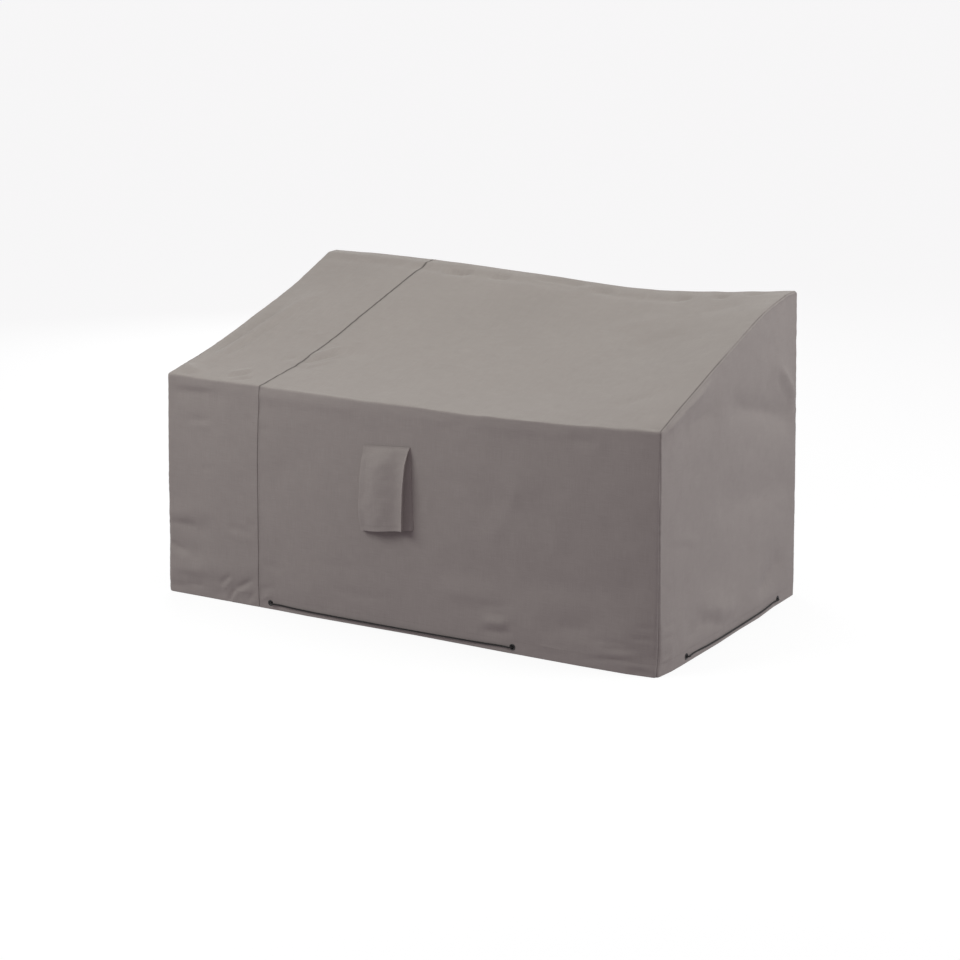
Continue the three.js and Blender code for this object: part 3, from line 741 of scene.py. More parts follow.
# share of the slope's stronger dust and painted shade along an end seam, at each depth
END_SEAM_SHOWS = table("deep share", [  # how clearly an end seam shows along the slope
    (0, 1), (360, 1), (440, 0.2), (560, 0.2), (590, 0.7), (640, 0.6), (680, 0.15), (730, 0.5), (810, 0.6),
    (850, 0.1),
])


def puckers(away, along, seed, height):
    def wave(length, k):
        return noise(along, 0 * along, length, seed + k)

    mixed = wave(PUCKER_LENGTH, 0) + LONG_PUCKER_SHARE * wave(LONG_PUCKER * PUCKER_LENGTH, 1)
    strong = lerp(PUCKER_LEAST, 1, smooth(0.5 + wave(PUCKER_SPELL, 2)))
    return height * mixed * strong * np.exp(-away / PUCKER_REACH)


def seam_relief(away, along, seed, lower, dip=SEAM_DIP, pucker=PUCKER):
    """How far the cloth stands out at a distance from its seam. It is negative on the part lapped under."""
    apart = np.maximum(away, 0)
    edge = -SEAM_EDGE * np.exp(-((apart / SEAM_ROLL) ** 2))
    ridge = SEAM_RIDGE * np.exp(-(((apart - SEAM_RIDGE_AT) / SEAM_RIDGE_HALF) ** 2))
    if lower:
        edge = -dip * (1 - smooth((away - SEAM_DIP_AT) / SEAM_DIP_WIDTH))
        ridge = LOWER_RIDGE * ridge
    return edge + ridge + puckers(apart, along, seed, pucker) * smooth((away + LAP) / LAP)


# darkening beside a seam: dust, and painted shade in its groove
def seam_dust_and_shade(away, strength, width):
    return strength * np.exp(-((np.maximum(away, 0) / width) ** 2))


# Rows of the bands' grid

HEM_ROWS = np.array([0, 1.4, 3.6, 7.5, 13.8, 19, 24.2, 29, 33, 36, 38.5])
HEM_STITCH = 36  # height of the stitches that hold the turned-up hem
HEM_GAP = 2.3  # between the outer skins of the hem's two layers, where they are sewn together
CHANNEL = 10.5  # and where the cord runs between them
CHANNEL_SHAPE = 0.8  # below 1 it is fuller than half a sine wave
TURN_STEPS = np.array([0.17, 0.34, 0.5, 0.66, 0.83])


def spaced(low, high, step):
    """Evenly spaced numbers from low up to high, without high."""
    count = max(int(round((high - low) / step)), 1)
    return np.linspace(low, high, count, endpoint=False)


NOMINAL_TOP = 630
FINE_BELOW = 165  # rows stand closer below this height on the front
FRONT_ROWS = np.r_[spaced(HEM, FINE_BELOW, 5.4), spaced(FINE_BELOW, NOMINAL_TOP, 8), NOMINAL_TOP]
FRONT_SHARES = (FRONT_ROWS - HEM) / (NOMINAL_TOP - HEM)
SLOPE_SHARES = np.r_[spaced(0, 1, 0.0115), 1]
STRIP_STEPS = np.array([0.25, 0.5, 0.75, 1])
BACK_SHARES = np.r_[spaced(0, 1, 0.0145), 1]
SLOPE_DRIFT = (0.02, 0.937)  # share of the joining seam's drift at the two ends of the slope


def profile(x):
    """The top's sizes at places across the cover."""
    names = [name for name in SECTIONS if name != "across"]
    return {name: on_curve(SECTIONS["across"], SECTIONS[name], x) for name in names}


def front_at(x, share):
    p = profile(x)
    z = HEM + share * (p["edge"] - p["round"] - HEM)
    return front_face(z), z


def back_at(x, share):
    z = HEM + share * (profile(x)["ridge"] - RIDGE_ROUND - HEM)
    return back_face(z), z


def slope_at(x, step):
    p = profile(x)
    strip_share = 1 - p["strip"] / DEPTH
    share = lerp(p["round"] / DEPTH, strip_share, step)
    start = front_face(p["edge"])
    heights = [p[name] for name in ("edge", "quarter", "half", "three_quarter", "strip_edge")]
    z = on_curve([0, 0.25, 0.5, 0.75, strip_share], heights, share)
    return start + share * (back_face(p["ridge"]) - start), z


def strip_at(x, step):
    p = profile(x)
    y1, z1 = slope_at(x, np.ones_like(x))
    y2 = back_face(p["ridge"]) - RIDGE_ROUND
    z2 = lerp(p["strip_edge"], p["ridge"], 1 - RIDGE_ROUND / p["strip"])
    return lerp(y1, y2, step), lerp(z1, z2, step)


def turned(a, corner, b, t):
    """A place on the soft turn from a to b round a corner."""
    return tuple((1 - t) ** 2 * p + 2 * t * (1 - t) * c + t**2 * q for p, c, q in zip(a, corner, b))


def front_turn_at(x, t):
    p = profile(x)
    corner = (front_face(p["edge"]), p["edge"])
    return turned(front_at(x, np.ones_like(x)), corner, slope_at(x, np.zeros_like(x)), t)


def back_turn_at(x, t):
    p = profile(x)
    corner = (back_face(p["ridge"]), p["ridge"])
    return turned(strip_at(x, np.ones_like(x)), corner, back_at(x, np.ones_like(x)), t)


def hem_at(face_y):
    return lambda x, z: (face_y(0) + 0 * x, z + 0 * x)


ZONES = [
    ("front", hem_at(front_face), HEM_ROWS, 0 * HEM_ROWS),
    ("front", front_at, FRONT_SHARES, 0 * FRONT_SHARES),
    ("front_turn", front_turn_at, TURN_STEPS, 0 * TURN_STEPS),
    ("slope", slope_at, SLOPE_SHARES, lerp(*SLOPE_DRIFT, SLOPE_SHARES)),
    ("slope", strip_at, STRIP_STEPS, lerp(SLOPE_DRIFT[1], 1, STRIP_STEPS)),
    ("back_turn", back_turn_at, TURN_STEPS, 0 * TURN_STEPS + 1),
    ("back", back_at, BACK_SHARES[::-1], BACK_SHARES[::-1]),
    ("back", hem_at(back_face), HEM_ROWS[::-1], 0 * HEM_ROWS),
]


def zone_weights():
    """For each row, how much it belongs to the front, the slope and the back."""
    rows = []
    for name, _, steps, _ in ZONES:
        for step in steps:
            front = {"front": 1, "front_turn": 1 - step}.get(name, 0)
            back = {"back": 1, "back_turn": step}.get(name, 0)
            rows.append((front, 1 - front - back, back))
    return np.array(rows, float).T[..., None]


def skin(columns, drifting=True):
    """Smooth outer skin in rows over the cover, at the given columns: x as on the hem, y and z."""
    columns = np.asarray(columns, float)
    reach = np.clip(1 - np.abs(columns - JOIN_X) / JOIN_DRIFT_REACH, 0, 1) if drifting else 0 * columns
    rows = []
    for _, point_at, steps, drifts in ZONES:
        x = columns[None] + JOIN_DRIFT * reach[None] * drifts[:, None]
        y, z = point_at(x, steps[:, None] + 0 * x)
        rows.append(np.stack([x, y, z], -1))
    return np.concatenate(rows)


def section_outward(points):
    """Outward directions in the upright plane of each section."""
    step = np.gradient(points, axis=0)
    return unit(np.stack([0 * step[..., 0], -step[..., 2], step[..., 1]], -1))


def end_radius(z):
    return lerp(END_ROUND, END_ROUND_AT_HEM, smooth(1 - z / END_ROUND_SETTLES))


def turn_column(end, angles):
    """Points of the smooth skin on the turn to an end panel, at angles in degrees that may differ by row."""
    station = skin(np.array([end * (WIDTH / 2 - END_ROUND)]), drifting=False)
    outward = section_outward(station)
    z = station[..., 2]
    radius = end_radius(z)
    angle = np.radians(angles)
    points = station - outward * (radius * (1 - np.cos(angle)))[..., None]
    points[..., 0] = end * (end_face(z) - radius * (1 - np.sin(angle)))
    return points


# Each face's folds and creases, the share of the creases that is left at the bottom, and its ripples' seed

FACES = {
    "front": (FRONT_FOLDS, FRONT_CREASES, 0.7, 11),
    "slope": (SLOPE_FOLDS, SLOPE_CREASES, 0.25, 21),
    "back": (BACK_FOLDS, BACK_CREASES, 0.25, 31),
    "right": (END_FOLDS, END_CREASES, 0.25, 41),
    "left": (END_FOLDS, HIDDEN_END_CREASES, 0.25, 45),
}
RIPPLES_IN_HEM = 0.25
STIFF_BELOW = 10  # height below which the hem is stiffest


def hem_softness(z, least):
    """1 above the hem, and the given share at the bottom, where its layers stiffen the cloth."""
    return lerp(least, 1, smooth((z - STIFF_BELOW) / HEM))


def unevenness(face, u, v, z, fold_room, room):
    """How far a face's folds, creases and ripples stand out. The two rooms are distances to an end seam."""
    folds, creases, creases_in_hem, seed = FACES[face]
    fade = smooth(room / CREASE_FADE)
    return (folds_at(folds, u, v) * smooth(fold_room / FOLD_FADE) * smooth((z - HEM) / HEM)
            + creases_at(creases, u, v) * fade * hem_softness(z, creases_in_hem)
            + ripples(u, v, seed) * fade * hem_softness(z, RIPPLES_IN_HEM))


def band_stands_out(points, weights):
    """How far a band stands out from its smooth skin, apart from its seams."""
    x, y, z = np.moveaxis(points, -1, 0)
    front, slope, back = weights
    room = WIDTH / 2 - np.abs(x)
    on_front = unevenness("front", x, z, z, room - END_ROUND, room) * away_from_hood(x, z)
    on_slope = unevenness("slope", x, y - FRONT_FACE_Y, z, room - END_ROUND, room)
    on_back = unevenness("back", x, z, z, room - END_ROUND, room)
    return front * on_front + slope * on_slope + back * on_back + flare(LONG_HEM, x, z) * (front + back)


EYELET_Z = 19
LONG_EYELETS = (-431, 371)
END_EYELETS = (155, 774)
EYELET_CUT = 5.2  # half the width of the opening cut in the cloth, hidden under the flange


def columns_between(low, high, step, more=(), eyelets=()):
    """Places a step apart, and more. At an eyelet they are its middle and both edges of its opening."""
    places = np.r_[spaced(low, high, step), more]
    for eyelet in eyelets:
        places = places[np.abs(places - eyelet) > EYELET_CUT + step / 3]
        places = np.r_[places, eyelet - EYELET_CUT, eyelet, eyelet + EYELET_CUT]
    return np.sort(places)


SEAM_OFFSETS = np.array([0.15, 0.9, 1.8, 3.0, 4.5, 6.5, 9.5, 13.5, 19])
LAP_OFFSETS = np.array([1.0, LAP])  # on the part lapped under
APPROACH_STARTS = 700  # from here on, the columns close up to the start of the turn
APPROACH = np.array([0, 0.14, 0.28, 0.42, 0.55, 0.67, 0.78, 0.87, 0.94])
TURN_ANGLES = np.array([0, 8, 16, 24, 32, 39, 44, 47, 49.2])
STITCH_AWAY = 4.5  # distance of the stitches from their seam


def end_grid_columns(end):
    """The band's columns from the start of its approach to an end, over the turn and under the end panel."""
    across = end * lerp(APPROACH_STARTS, WIDTH / 2 - END_ROUND, APPROACH)
    base = skin(across, drifting=False)
    z = base[..., 2]
    radius = end_radius(z)
    start = APPROACH_STARTS * end_face(z) / (WIDTH / 2)
    base[..., 0] = end * lerp(start, end_face(z) - radius, APPROACH[None])
    turn = [turn_column(end, angle) for angle in TURN_ANGLES]
    rim_radius = end_radius(turn[0][..., 2])
    lap = [turn_column(end, SEAM_ANGLE + np.degrees(arc / rim_radius)) for arc in LAP_OFFSETS]
    to_turn = rim_radius * math.radians(SEAM_ANGLE)
    away = np.concatenate([
        to_turn + end_face(z) - radius - np.abs(base[..., 0]),
        *[rim_radius * math.radians(SEAM_ANGLE - angle) for angle in TURN_ANGLES],
        *[0 * rim_radius - arc for arc in LAP_OFFSETS],
    ], axis=1)
    return np.concatenate([base, *turn, *lap], axis=1), away


def grid_outward(points):
    """Outward directions of a grid whose columns run to the right and rows up, seen from outside."""
    across = np.gradient(points, axis=1)
    along = np.gradient(points, axis=0)
    return unit(np.cross(across, along))


def turned_up(points, outward):
    """The bottom edge of a grid whose rows start there, and the turned-up hem's inner layer above it."""
    share = np.clip(HEM_ROWS[1:] / HEM_STITCH, 0, 1)
    gap = np.r_[HEM_GAP / 2, lerp(HEM_GAP, CHANNEL, np.sin(math.pi * share) ** CHANNEL_SHAPE)]
    level = unit(outward[:len(HEM_ROWS)] * np.array([1, 1, 0]))
    return points[:len(HEM_ROWS)] - level * gap[:, None, None]


def add_hem(points, outward, ends):
    """The grid with its turned-up hem added under its first row and, if it ends in a hem, its last one."""
    front = turned_up(points, outward)[::-1]
    if not ends:
        return np.concatenate([front, points[1:]])
    return np.concatenate([front, points[1:-1], turned_up(points[::-1], outward[::-1])])


def with_hem_rows(values, ends):
    """Values of the grid's rows, repeated for the turned-up hem."""
    count = len(HEM_ROWS)
    back = values[::-1][1:count] if ends else values[:0]
    return np.concatenate([values[1:count][::-1], values, back])


SHARP_ANGLE = math.radians(62)  # edges that turn more than this are shaded sharp


def grid_quads(shape, open_cells):
    """Corners of a grid's cells, as places in the list of the grid's points that they use, and that list."""
    index = np.arange(shape[0] * shape[1]).reshape(shape)
    quads = np.stack([index[:-1, :-1], index[:-1, 1:], index[1:, 1:], index[1:, :-1]], -1)
    used, corners = np.unique(quads[~open_cells], return_inverse=True)
    return corners.reshape(-1, 4), used


def boundary_edges(quads):
    edges = np.concatenate([quads[:, [k, (k + 1) % 4]] for k in range(4)])
    size = int(quads.max()) + 1
    keys = edges[:, 0] * size + edges[:, 1]
    return edges[~np.isin(keys, edges[:, 1] * size + edges[:, 0])]


def thickened(name, outer, quads):
    """Points and faces of a closed thin sheet with the given outer skin."""
    bare = mesh_of(name + "_skin", outer, quads.tolist())
    normals = np.zeros(outer.size, np.float32)
    bare.vertex_normals.foreach_get("vector", normals)
    bpy.data.meshes.remove(bare)
    inner = outer - normals.reshape(-1, 3) * CLOTH * MM
    count = len(outer)
    a, b = boundary_edges(quads).T
    faces = np.concatenate([quads, quads[:, ::-1] + count, np.stack([b, a, a + count, b + count], -1)])
    return np.concatenate([outer, inner]), faces.tolist()


def sheet_mesh(name, points, weave, shade, open_cells):
    """Thin sheet on a grid of outer points, with its place in the weave and the shade of its seams."""
    quads, used = grid_quads(points.shape[:2], open_cells)
    mesh = mesh_of(name, *thickened(name, points.reshape(-1, 3)[used] * MM, quads))
    mesh.set_sharp_from_angle(angle=SHARP_ANGLE)
    corners = np.zeros(len(mesh.loops), np.int32)
    mesh.loops.foreach_get("vertex_index", corners)
    places = np.tile(weave.reshape(-1, 2)[used] * MM, (2, 1))
    mesh.uv_layers.new(name=WEAVE_MAP).uv.foreach_set("vector", places[corners].astype(np.float32).ravel())
    dark = mesh.attributes.new(SEAM_SHADE, "FLOAT", "POINT")
    dark.data.foreach_set("value", np.tile(shade.ravel()[used], 2).astype(np.float32))
    return mesh


def eyelet_cells(along, z, eyelets):
    """The cells of a grid that its eyelets pass through."""
    along, z = ((at[1:, 1:] + at[:-1, :-1]) / 2 for at in (along, z))
    hit = np.zeros(z.shape, bool)
    for eyelet in eyelets:
        hit |= (np.abs(along - eyelet) < EYELET_CUT) & (np.abs(z - EYELET_Z) < EYELET_CUT)
    turned_up_rows = len(HEM_ROWS) - 1
    hit[:turned_up_rows] = False
    hit[-turned_up_rows:] = False
    return hit


FAR = 1000.0
MAIN_STEP = 9.6
LEFT_STEP = 5.6
NEAR_JOIN = 100  # within this distance of the joining seam the columns stand closer
NEAR_STEP = 5.2
SEAM_STEP = 4  # from the last of the seam's own columns to the next
HEM_ROW = int(np.argmin(np.abs(HEM_ROWS - HEM_STITCH)))  # the row with the hem's stitches


def band_columns(end, join_below, step, eyelets):
    """Places of a band's columns across the cover, from its joining seam to the approach to its end."""
    beside = JOIN_X + end * SEAM_OFFSETS
    near_to = JOIN_X + end * NEAR_JOIN
    near = spaced(*sorted((beside[-1] + end * SEAM_STEP, near_to)), NEAR_STEP)
    middle = columns_between(*sorted((near_to, end * APPROACH_STARTS)), step, near, eyelets)
    lap = JOIN_X - end * LAP_OFFSETS if join_below else []
    return np.sort(np.r_[beside, middle, lap])


def band_skin(end, columns):
    """A band's smooth skin, and the distances of its points from the joining seam and from the end seam."""
    straight = skin(columns)
    straight[..., 0] *= end_face(straight[..., 2]) / (WIDTH / 2)
    end_part, to_end = end_grid_columns(end)
    to_join = end * (columns - JOIN_X)[None] + 0 * straight[..., 0]
    parts = (straight, end_part), (to_join, 0 * to_end + FAR), (0 * to_join + FAR, to_end)
    if end > 0:
        return [np.concatenate([near, far], axis=1) for near, far in parts]
    return [np.concatenate([far[:, ::-1], near], axis=1) for near, far in parts]


# dust and painted shade along a band's joining seam and its end seam
def band_dust_and_shade(base, join_away, end_away):
    on_slope = zone_weights()[1]
    end_shows = on_slope * np.interp(base[..., 1] - FRONT_FACE_Y, *END_SEAM_SHOWS.values())
    join_dust_and_shade = seam_dust_and_shade(join_away, lerp(*JOIN_DUST_AND_SHADE, on_slope), lerp(*JOIN_DUST_AND_SHADE_WIDTH, on_slope))
    return join_dust_and_shade + seam_dust_and_shade(end_away, lerp(*END_DUST_AND_SHADE, end_shows), END_DUST_AND_SHADE_WIDTH)


def band(name, end, join_below, step, eyelets):
    """One of the two bands that run over front, top and back, from its joining seam out to an end. Returns
    its mesh, and the paths of the stitches along the joining seam and the two hems."""
    base, join_away, end_away = band_skin(end, band_columns(end, join_below, step, eyelets))
    along = base[..., 1] + base[..., 2]
    out = band_stands_out(base, zone_weights())
    out += seam_relief(join_away, along, JOIN_SEED, join_below)
    out += seam_relief(end_away, along, END_SEAM_SEED[end], True, END_SEAM_DIP, END_PUCKER)
    surface = settle(base + grid_outward(base) * out[..., None])
    points = add_hem(surface, grid_outward(surface), ends=True)
    shade = with_hem_rows(band_dust_and_shade(base, join_away, end_away), ends=True)
    x, z = points[..., 0], points[..., 2]
    lengths = lengths_along(points[:, points.shape[1] // 2])
    weave = np.stack([x, lengths[:, None] + 0 * x], -1)
    mesh = sheet_mesh(name, points, weave, shade, eyelet_cells(x, z, eyelets))
    join_path = surface[:, np.argmin(np.abs(join_away[0] - STITCH_AWAY))]
    inside = (join_away[0] > 0) & (end_away[0] > 0)
    return mesh, join_path, [surface[row][inside] for row in (HEM_ROW, -1 - HEM_ROW)]


SETTLE = 1.3  # the whole cover hangs uneven by about this much
SETTLE_LENGTHS = (310, 130)
SETTLE_SEEDS = (71, 81, 91)  # for the three directions
SETTLE_FROM_HEM = 120  # it does so in full this far above the hem
SHIFT = 900  # how far the noise is moved along its first axis
FRONT_EDGE_Z = 645
BARREL = 9  # the front bulges by this much, half way up and half way along
BOW = 8  # and bends back by this much towards its right end
BOW_REACH = 130
BOW_FROM = 60  # height from which it does so in full
MIDDLE_REACH = 400  # distance from the ends over which the bulge grows
FRONT_DEPTH = 115  # depth within which bulge and bend die away
SAG = 1.6  # the top's edges wander up and down by this much
SAG_FROM_HEM = 400  # they do so in full this far above the hem
JOG = 2.2  # the front edge does so in short waves as well
JOG_LENGTH = 44
JOG_REACH = 14  # depth and height over which those die away
JOG_SEED = 97


def settle(points):
    """Moves points that lie at one place alike, whichever piece they are on, and leaves the hem as it is."""
    x, y, z = np.moveaxis(points, -1, 0)
    moved = points.copy()
    free = SETTLE * smooth((z - HEM) / SETTLE_FROM_HEM)
    sag = SAG * smooth((z - HEM) / SAG_FROM_HEM)
    for k, length in enumerate(SETTLE_LENGTHS):
        places = ((free, y + SHIFT, z), (free, x + SHIFT, z), (sag, x - SHIFT, y))
        for i, (height, u, v) in enumerate(places):
            moved[..., i] += height / (k + 1) * noise(u, v, length, SETTLE_SEEDS[i] + k)
    at_edge = np.exp(-((y - FRONT_FACE_Y) / JOG_REACH) ** 2 - ((z - FRONT_EDGE_Z) / JOG_REACH) ** 2)
    moved[..., 2] += JOG * at_edge * noise(x + SHIFT, 0 * x, JOG_LENGTH, JOG_SEED)
    share = np.clip((z - HEM) / (FRONT_EDGE_Z - HEM), 0, 1)
    barrel = BARREL * np.sin(math.pi * share) * smooth((WIDTH / 2 - np.abs(x)) / MIDDLE_REACH)
    bow = BOW * np.clip(1 - (WIDTH / 2 - x) / BOW_REACH, 0, 1) ** 2 * smooth(z / BOW_FROM)
    moved[..., 1] += (bow - barrel) * (1 - smooth((y - FRONT_FACE_Y) / FRONT_DEPTH))
    return moved


# End panels

END_STEP = 8.2
END_ROW_STEP = 6.56
NEARBY = 60  # stretches of an outline further away than this are passed over
RING_OFFSETS = np.array([0, 1.0, 2.2, 3.8, 6, 9, 12.5, 17, 22])
AFTER_RINGS = (7, 2)  # room between these and the panel's other columns, at the front and the back
SEAM_RING = 4  # the ring of columns and rows, counted from the rim, on which the seam's stitches lie
RIM_SHARE = 0.3  # beyond the turn, the seam counts as this share of the turn's radius inside the rim


def outline(end):
    """Upright outlines of an end, as Y and Z: where the turn to it starts, and its seam's run over the front,
    the top and the back."""
    start, seam = (turn_column(end, angle)[:, 0, 1:] for angle in (0, SEAM_ANGLE))
    weights = zone_weights()[..., 0]
    half_turn = len(TURN_STEPS) // 2
    top_starts = int((weights[0] == 1).sum()) + half_turn
    back_starts = len(seam) - int((weights[2] == 1).sum()) - half_turn - 1
    return start, seam[:top_starts + 1], seam[top_starts:back_starts + 1], seam[back_starts:][::-1]


def panel_shares(total, step, low_offsets, high_offsets):
    """Shares of a length, close together at its ends, as the offsets say, and a step apart between them."""
    middle = spaced(low_offsets[-1], total - high_offsets[-1], step)[1:]
    return np.r_[low_offsets, middle, total - high_offsets[::-1]] / total


def distance_to(line, y, z):
    """Shortest distance from each place to an outline, or FAR where none of it is nearby."""
    best = np.full(y.shape, FAR)
    for (y1, z1), (y2, z2) in zip(line, line[1:]):
        near = (np.abs(y - (y1 + y2) / 2) < NEARBY) & (np.abs(z - (z1 + z2) / 2) < NEARBY)
        away, _ = near_line(y[near], z[near], y1, z1, y2, z2)
        best[near] = np.minimum(best[near], away)
    return best


def end_panel(name, end):
    """A five-cornered end panel, sewn to the bands on three sides."""
    silhouette, front, top, back = outline(end)
    rise = top[0, 1] - HEM
    shares = panel_shares(rise, END_ROW_STEP, np.array([0.0]), RING_OFFSETS)
    front_z, back_z = (np.r_[HEM_ROWS, HEM + shares * (corner[1] - HEM)] for corner in (top[0], top[-1]))
    front_y = np.interp(front_z, front[:, 1], front[:, 0])
    back_y = np.interp(back_z, back[:, 1], back[:, 0])
    u = end_columns(front_y[0], back_y[0])
    y = lerp(front_y[:, None], back_y[:, None], u[None])
    top_z = np.interp(lerp(top[0, 0], top[-1, 0], u), top[:, 0], top[:, 1])
    hem_part = np.repeat(HEM_ROWS[:, None], len(u), axis=1)
    z = np.concatenate([hem_part, HEM + shares[:, None] * (top_z[None] - HEM)])
    radius = end_radius(z)
    inside = np.minimum(distance_to(silhouette, y, z), radius)
    x = end_face(z) - radius + np.sqrt(np.maximum(radius**2 - (radius - inside) ** 2, 0))
    base = np.stack([end * x, y, z], -1)
    return dress_end(name, end, base if end > 0 else base[:, ::-1], silhouette)


def end_columns(front_y, back_y):
    """Shares of the depth at which the panel's columns stand."""
    total = back_y - front_y
    before, after = AFTER_RINGS
    inner = columns_between(RING_OFFSETS[-1] + before, total - RING_OFFSETS[-1] - after, END_STEP,
                            eyelets=[eyelet + FRONT_FACE_Y - front_y for eyelet in END_EYELETS])
    return np.sort(np.r_[RING_OFFSETS, total - RING_OFFSETS, inner]) / total


def to_end_seam(silhouette, y, z):
    """Distance of an end panel's points from its seam, over the turn."""
    radius = end_radius(z)
    away = distance_to(silhouette, y, z)
    angle = np.arccos(np.clip(1 - away / radius, -1, 1)) - math.radians(SEAM_ANGLE)
    return np.maximum(np.where(away < radius, radius * angle, away - RIM_SHARE * radius), 0)


def along_seam(grid):
    """The part of an end panel's grid along its seam, up one side, over the top and down the other."""
    return np.concatenate([grid[HEM_ROW:-SEAM_RING, SEAM_RING - 1],
                           grid[-SEAM_RING, SEAM_RING:-SEAM_RING],
                           grid[-SEAM_RING:HEM_ROW:-1, -SEAM_RING]])


def dress_end(name, end, base, silhouette):
    """An end panel's mesh, and the paths and outward directions of its seam's and its hem's stitches."""
    y, z = base[..., 1], base[..., 2]
    room = to_end_seam(silhouette, y, z)
    deep = y - FRONT_FACE_Y
    out = unevenness("right" if end > 0 else "left", deep, z, z, room, room) + flare(END_HEM, deep, z)
    out += seam_relief(room, y + z, END_SEAM_SEED[end], False, pucker=END_PUCKER)
    surface = settle(base + grid_outward(base) * out[..., None])
    outward = grid_outward(surface)
    points = add_hem(surface, outward, ends=False)
    # dust and painted shade along the end seam
    shade = with_hem_rows(seam_dust_and_shade(room, PANEL_DUST_AND_SHADE, PANEL_DUST_AND_SHADE_WIDTH), ends=False)
    open_cells = eyelet_cells(points[..., 1] - FRONT_FACE_Y, points[..., 2], END_EYELETS)
    mesh = sheet_mesh(name, points, points[..., 1:], shade, open_cells)
    return mesh, (along_seam(surface), along_seam(outward)), (surface[HEM_ROW], outward[HEM_ROW])


# Vent hood, in rows from its open bottom to its sewn top. base_left and base_right are where its gussets
# meet the front face, flap_left and flap_right the flap's own edges, and the rest how far those stand off.

HOOD_ROWS = table("z base_left flap_left flap_right base_right stand_left stand_right", [
    (292, -118, -107, 36.5, 55, 15, 38),
    (335, -118, -111, 36.5, 53.5, 18, 36),
    (380, -117, -112, 36.5, 50.5, 18, 34),
    (430, -115, -111, 37, 48, 16, 31),
    (475, -113, -110, 38, 45.5, 11, 25),
    (508, -111, -109, 39.5, 43.5, 6, 13),
    (526, -110, -109, 40.5, 42, 2.3, 2.3),
])
HOOD_BOTTOM = HOOD_ROWS["z"][0]
HOOD_TOP = HOOD_ROWS["z"][-1]
HOOD_LEVELS = np.r_[HOOD_BOTTOM + np.array([0, 0.8, 2.0, 4.0]), spaced(HOOD_BOTTOM + 6, HOOD_TOP - 6, 4.5),
                    HOOD_TOP - np.array([6, 3, 0])]
HOOD_SLANTS = (9, 5)  # its bottom and top edges are this much lower at the left and higher at the right
FLAP_OPEN = 9  # the waves and the folded gusset are in full where the flap stands off this much more
FOOT = 0.4  # how far the gussets' feet stand off the front
FLAP_WAVES = table("across half height", [(0.84, 0.19, -9), (0.36, 0.25, 8), (0.04, 0.06, 1.5)])
FLAP_COLUMNS = np.r_[0, 0.012, 0.03, 0.06, np.linspace(0.1, 0.9, 21), 0.94, 0.97, 0.988, 1]
GUSSET_COLUMNS = np.linspace(0, 1, 12)
GUSSET_FOLD = 11  # how far the right gusset is folded in behind the flap
GUSSET_FOLD_AT = 0.36  # share of its width where it is folded in furthest
HOOD_HEM = 11  # height of the stitches above the bottom edge
HOOD_HEM_ROW = 6  # the rows of its grid that the stitches follow
HOOD_TOP_ROW = -2
HOOD_HEM_DIP = 0.5
HOOD_HEM_HALF = 1.6
FLAP_EDGE = 0.6  # height of the ridge along each upright edge of the flap
FLAP_EDGE_AT = 2.5
FLAP_EDGE_HALF = 2.5
HOOD_UNEVEN = ((34, 0.9, 91), (15, 0.5, 92))  # length, height and seed
HOOD_QUIET = 30  # this dies away towards the top over this length
# dust and painted shade along the hood's sewn top
HOOD_DUST_AND_SHADE = 0.10
HOOD_DUST_AND_SHADE_WIDTH = 2.0


def gusset(near, far, near_stand, far_stand):
    """X and standing off of a gusset's columns, from its left edge to its right one."""
    return lerp(near, far, GUSSET_COLUMNS[None]), lerp(near_stand, far_stand, GUSSET_COLUMNS[None])


def hood_surface():
    """Outer grid of the hood, from its left gusset's foot over the flap to its right gusset's foot."""
    z = HOOD_LEVELS[:, None]
    row = {name: on_curve(HOOD_ROWS["z"], HOOD_ROWS[name], z) for name in HOOD_ROWS if name != "z"}
    open_share = smooth((row["stand_left"] - HOOD_ROWS["stand_left"][-1]) / FLAP_OPEN)
    s = FLAP_COLUMNS[None]
    flap_x = lerp(row["flap_left"], row["flap_right"], s)
    flap_stand = lerp(row["stand_left"], row["stand_right"], s)
    for across, half, height in zip(*FLAP_WAVES.values()):
        flap_stand = flap_stand + height * open_share * np.exp(-(((s - across) / half) ** 2))
    left_x, left_stand = gusset(row["base_left"], row["flap_left"], FOOT, row["stand_left"])
    right_x, right_stand = gusset(row["flap_right"], row["base_right"], row["stand_right"], FOOT)
    g = GUSSET_COLUMNS[None]
    folded = np.where(g < GUSSET_FOLD_AT, g / GUSSET_FOLD_AT, (1 - g) / (1 - GUSSET_FOLD_AT))
    right_x = right_x - GUSSET_FOLD * open_share * smooth(folded)
    parts = ((left_x, flap_x, right_x), (left_stand, flap_stand, right_stand),
             (0 * left_x, 0 * flap_x + s, 0 * right_x + 1))
    x, stand, share = (np.concatenate([left[:, :-1], flap, right[:, 1:]], axis=1)
                       for left, flap, right in parts)
    slant = lerp(*HOOD_SLANTS, (z - HOOD_BOTTOM) / (HOOD_TOP - HOOD_BOTTOM))
    height = z + slant * (2 * share - 1)
    return np.stack([x, front_face(height) - stand, height], -1)


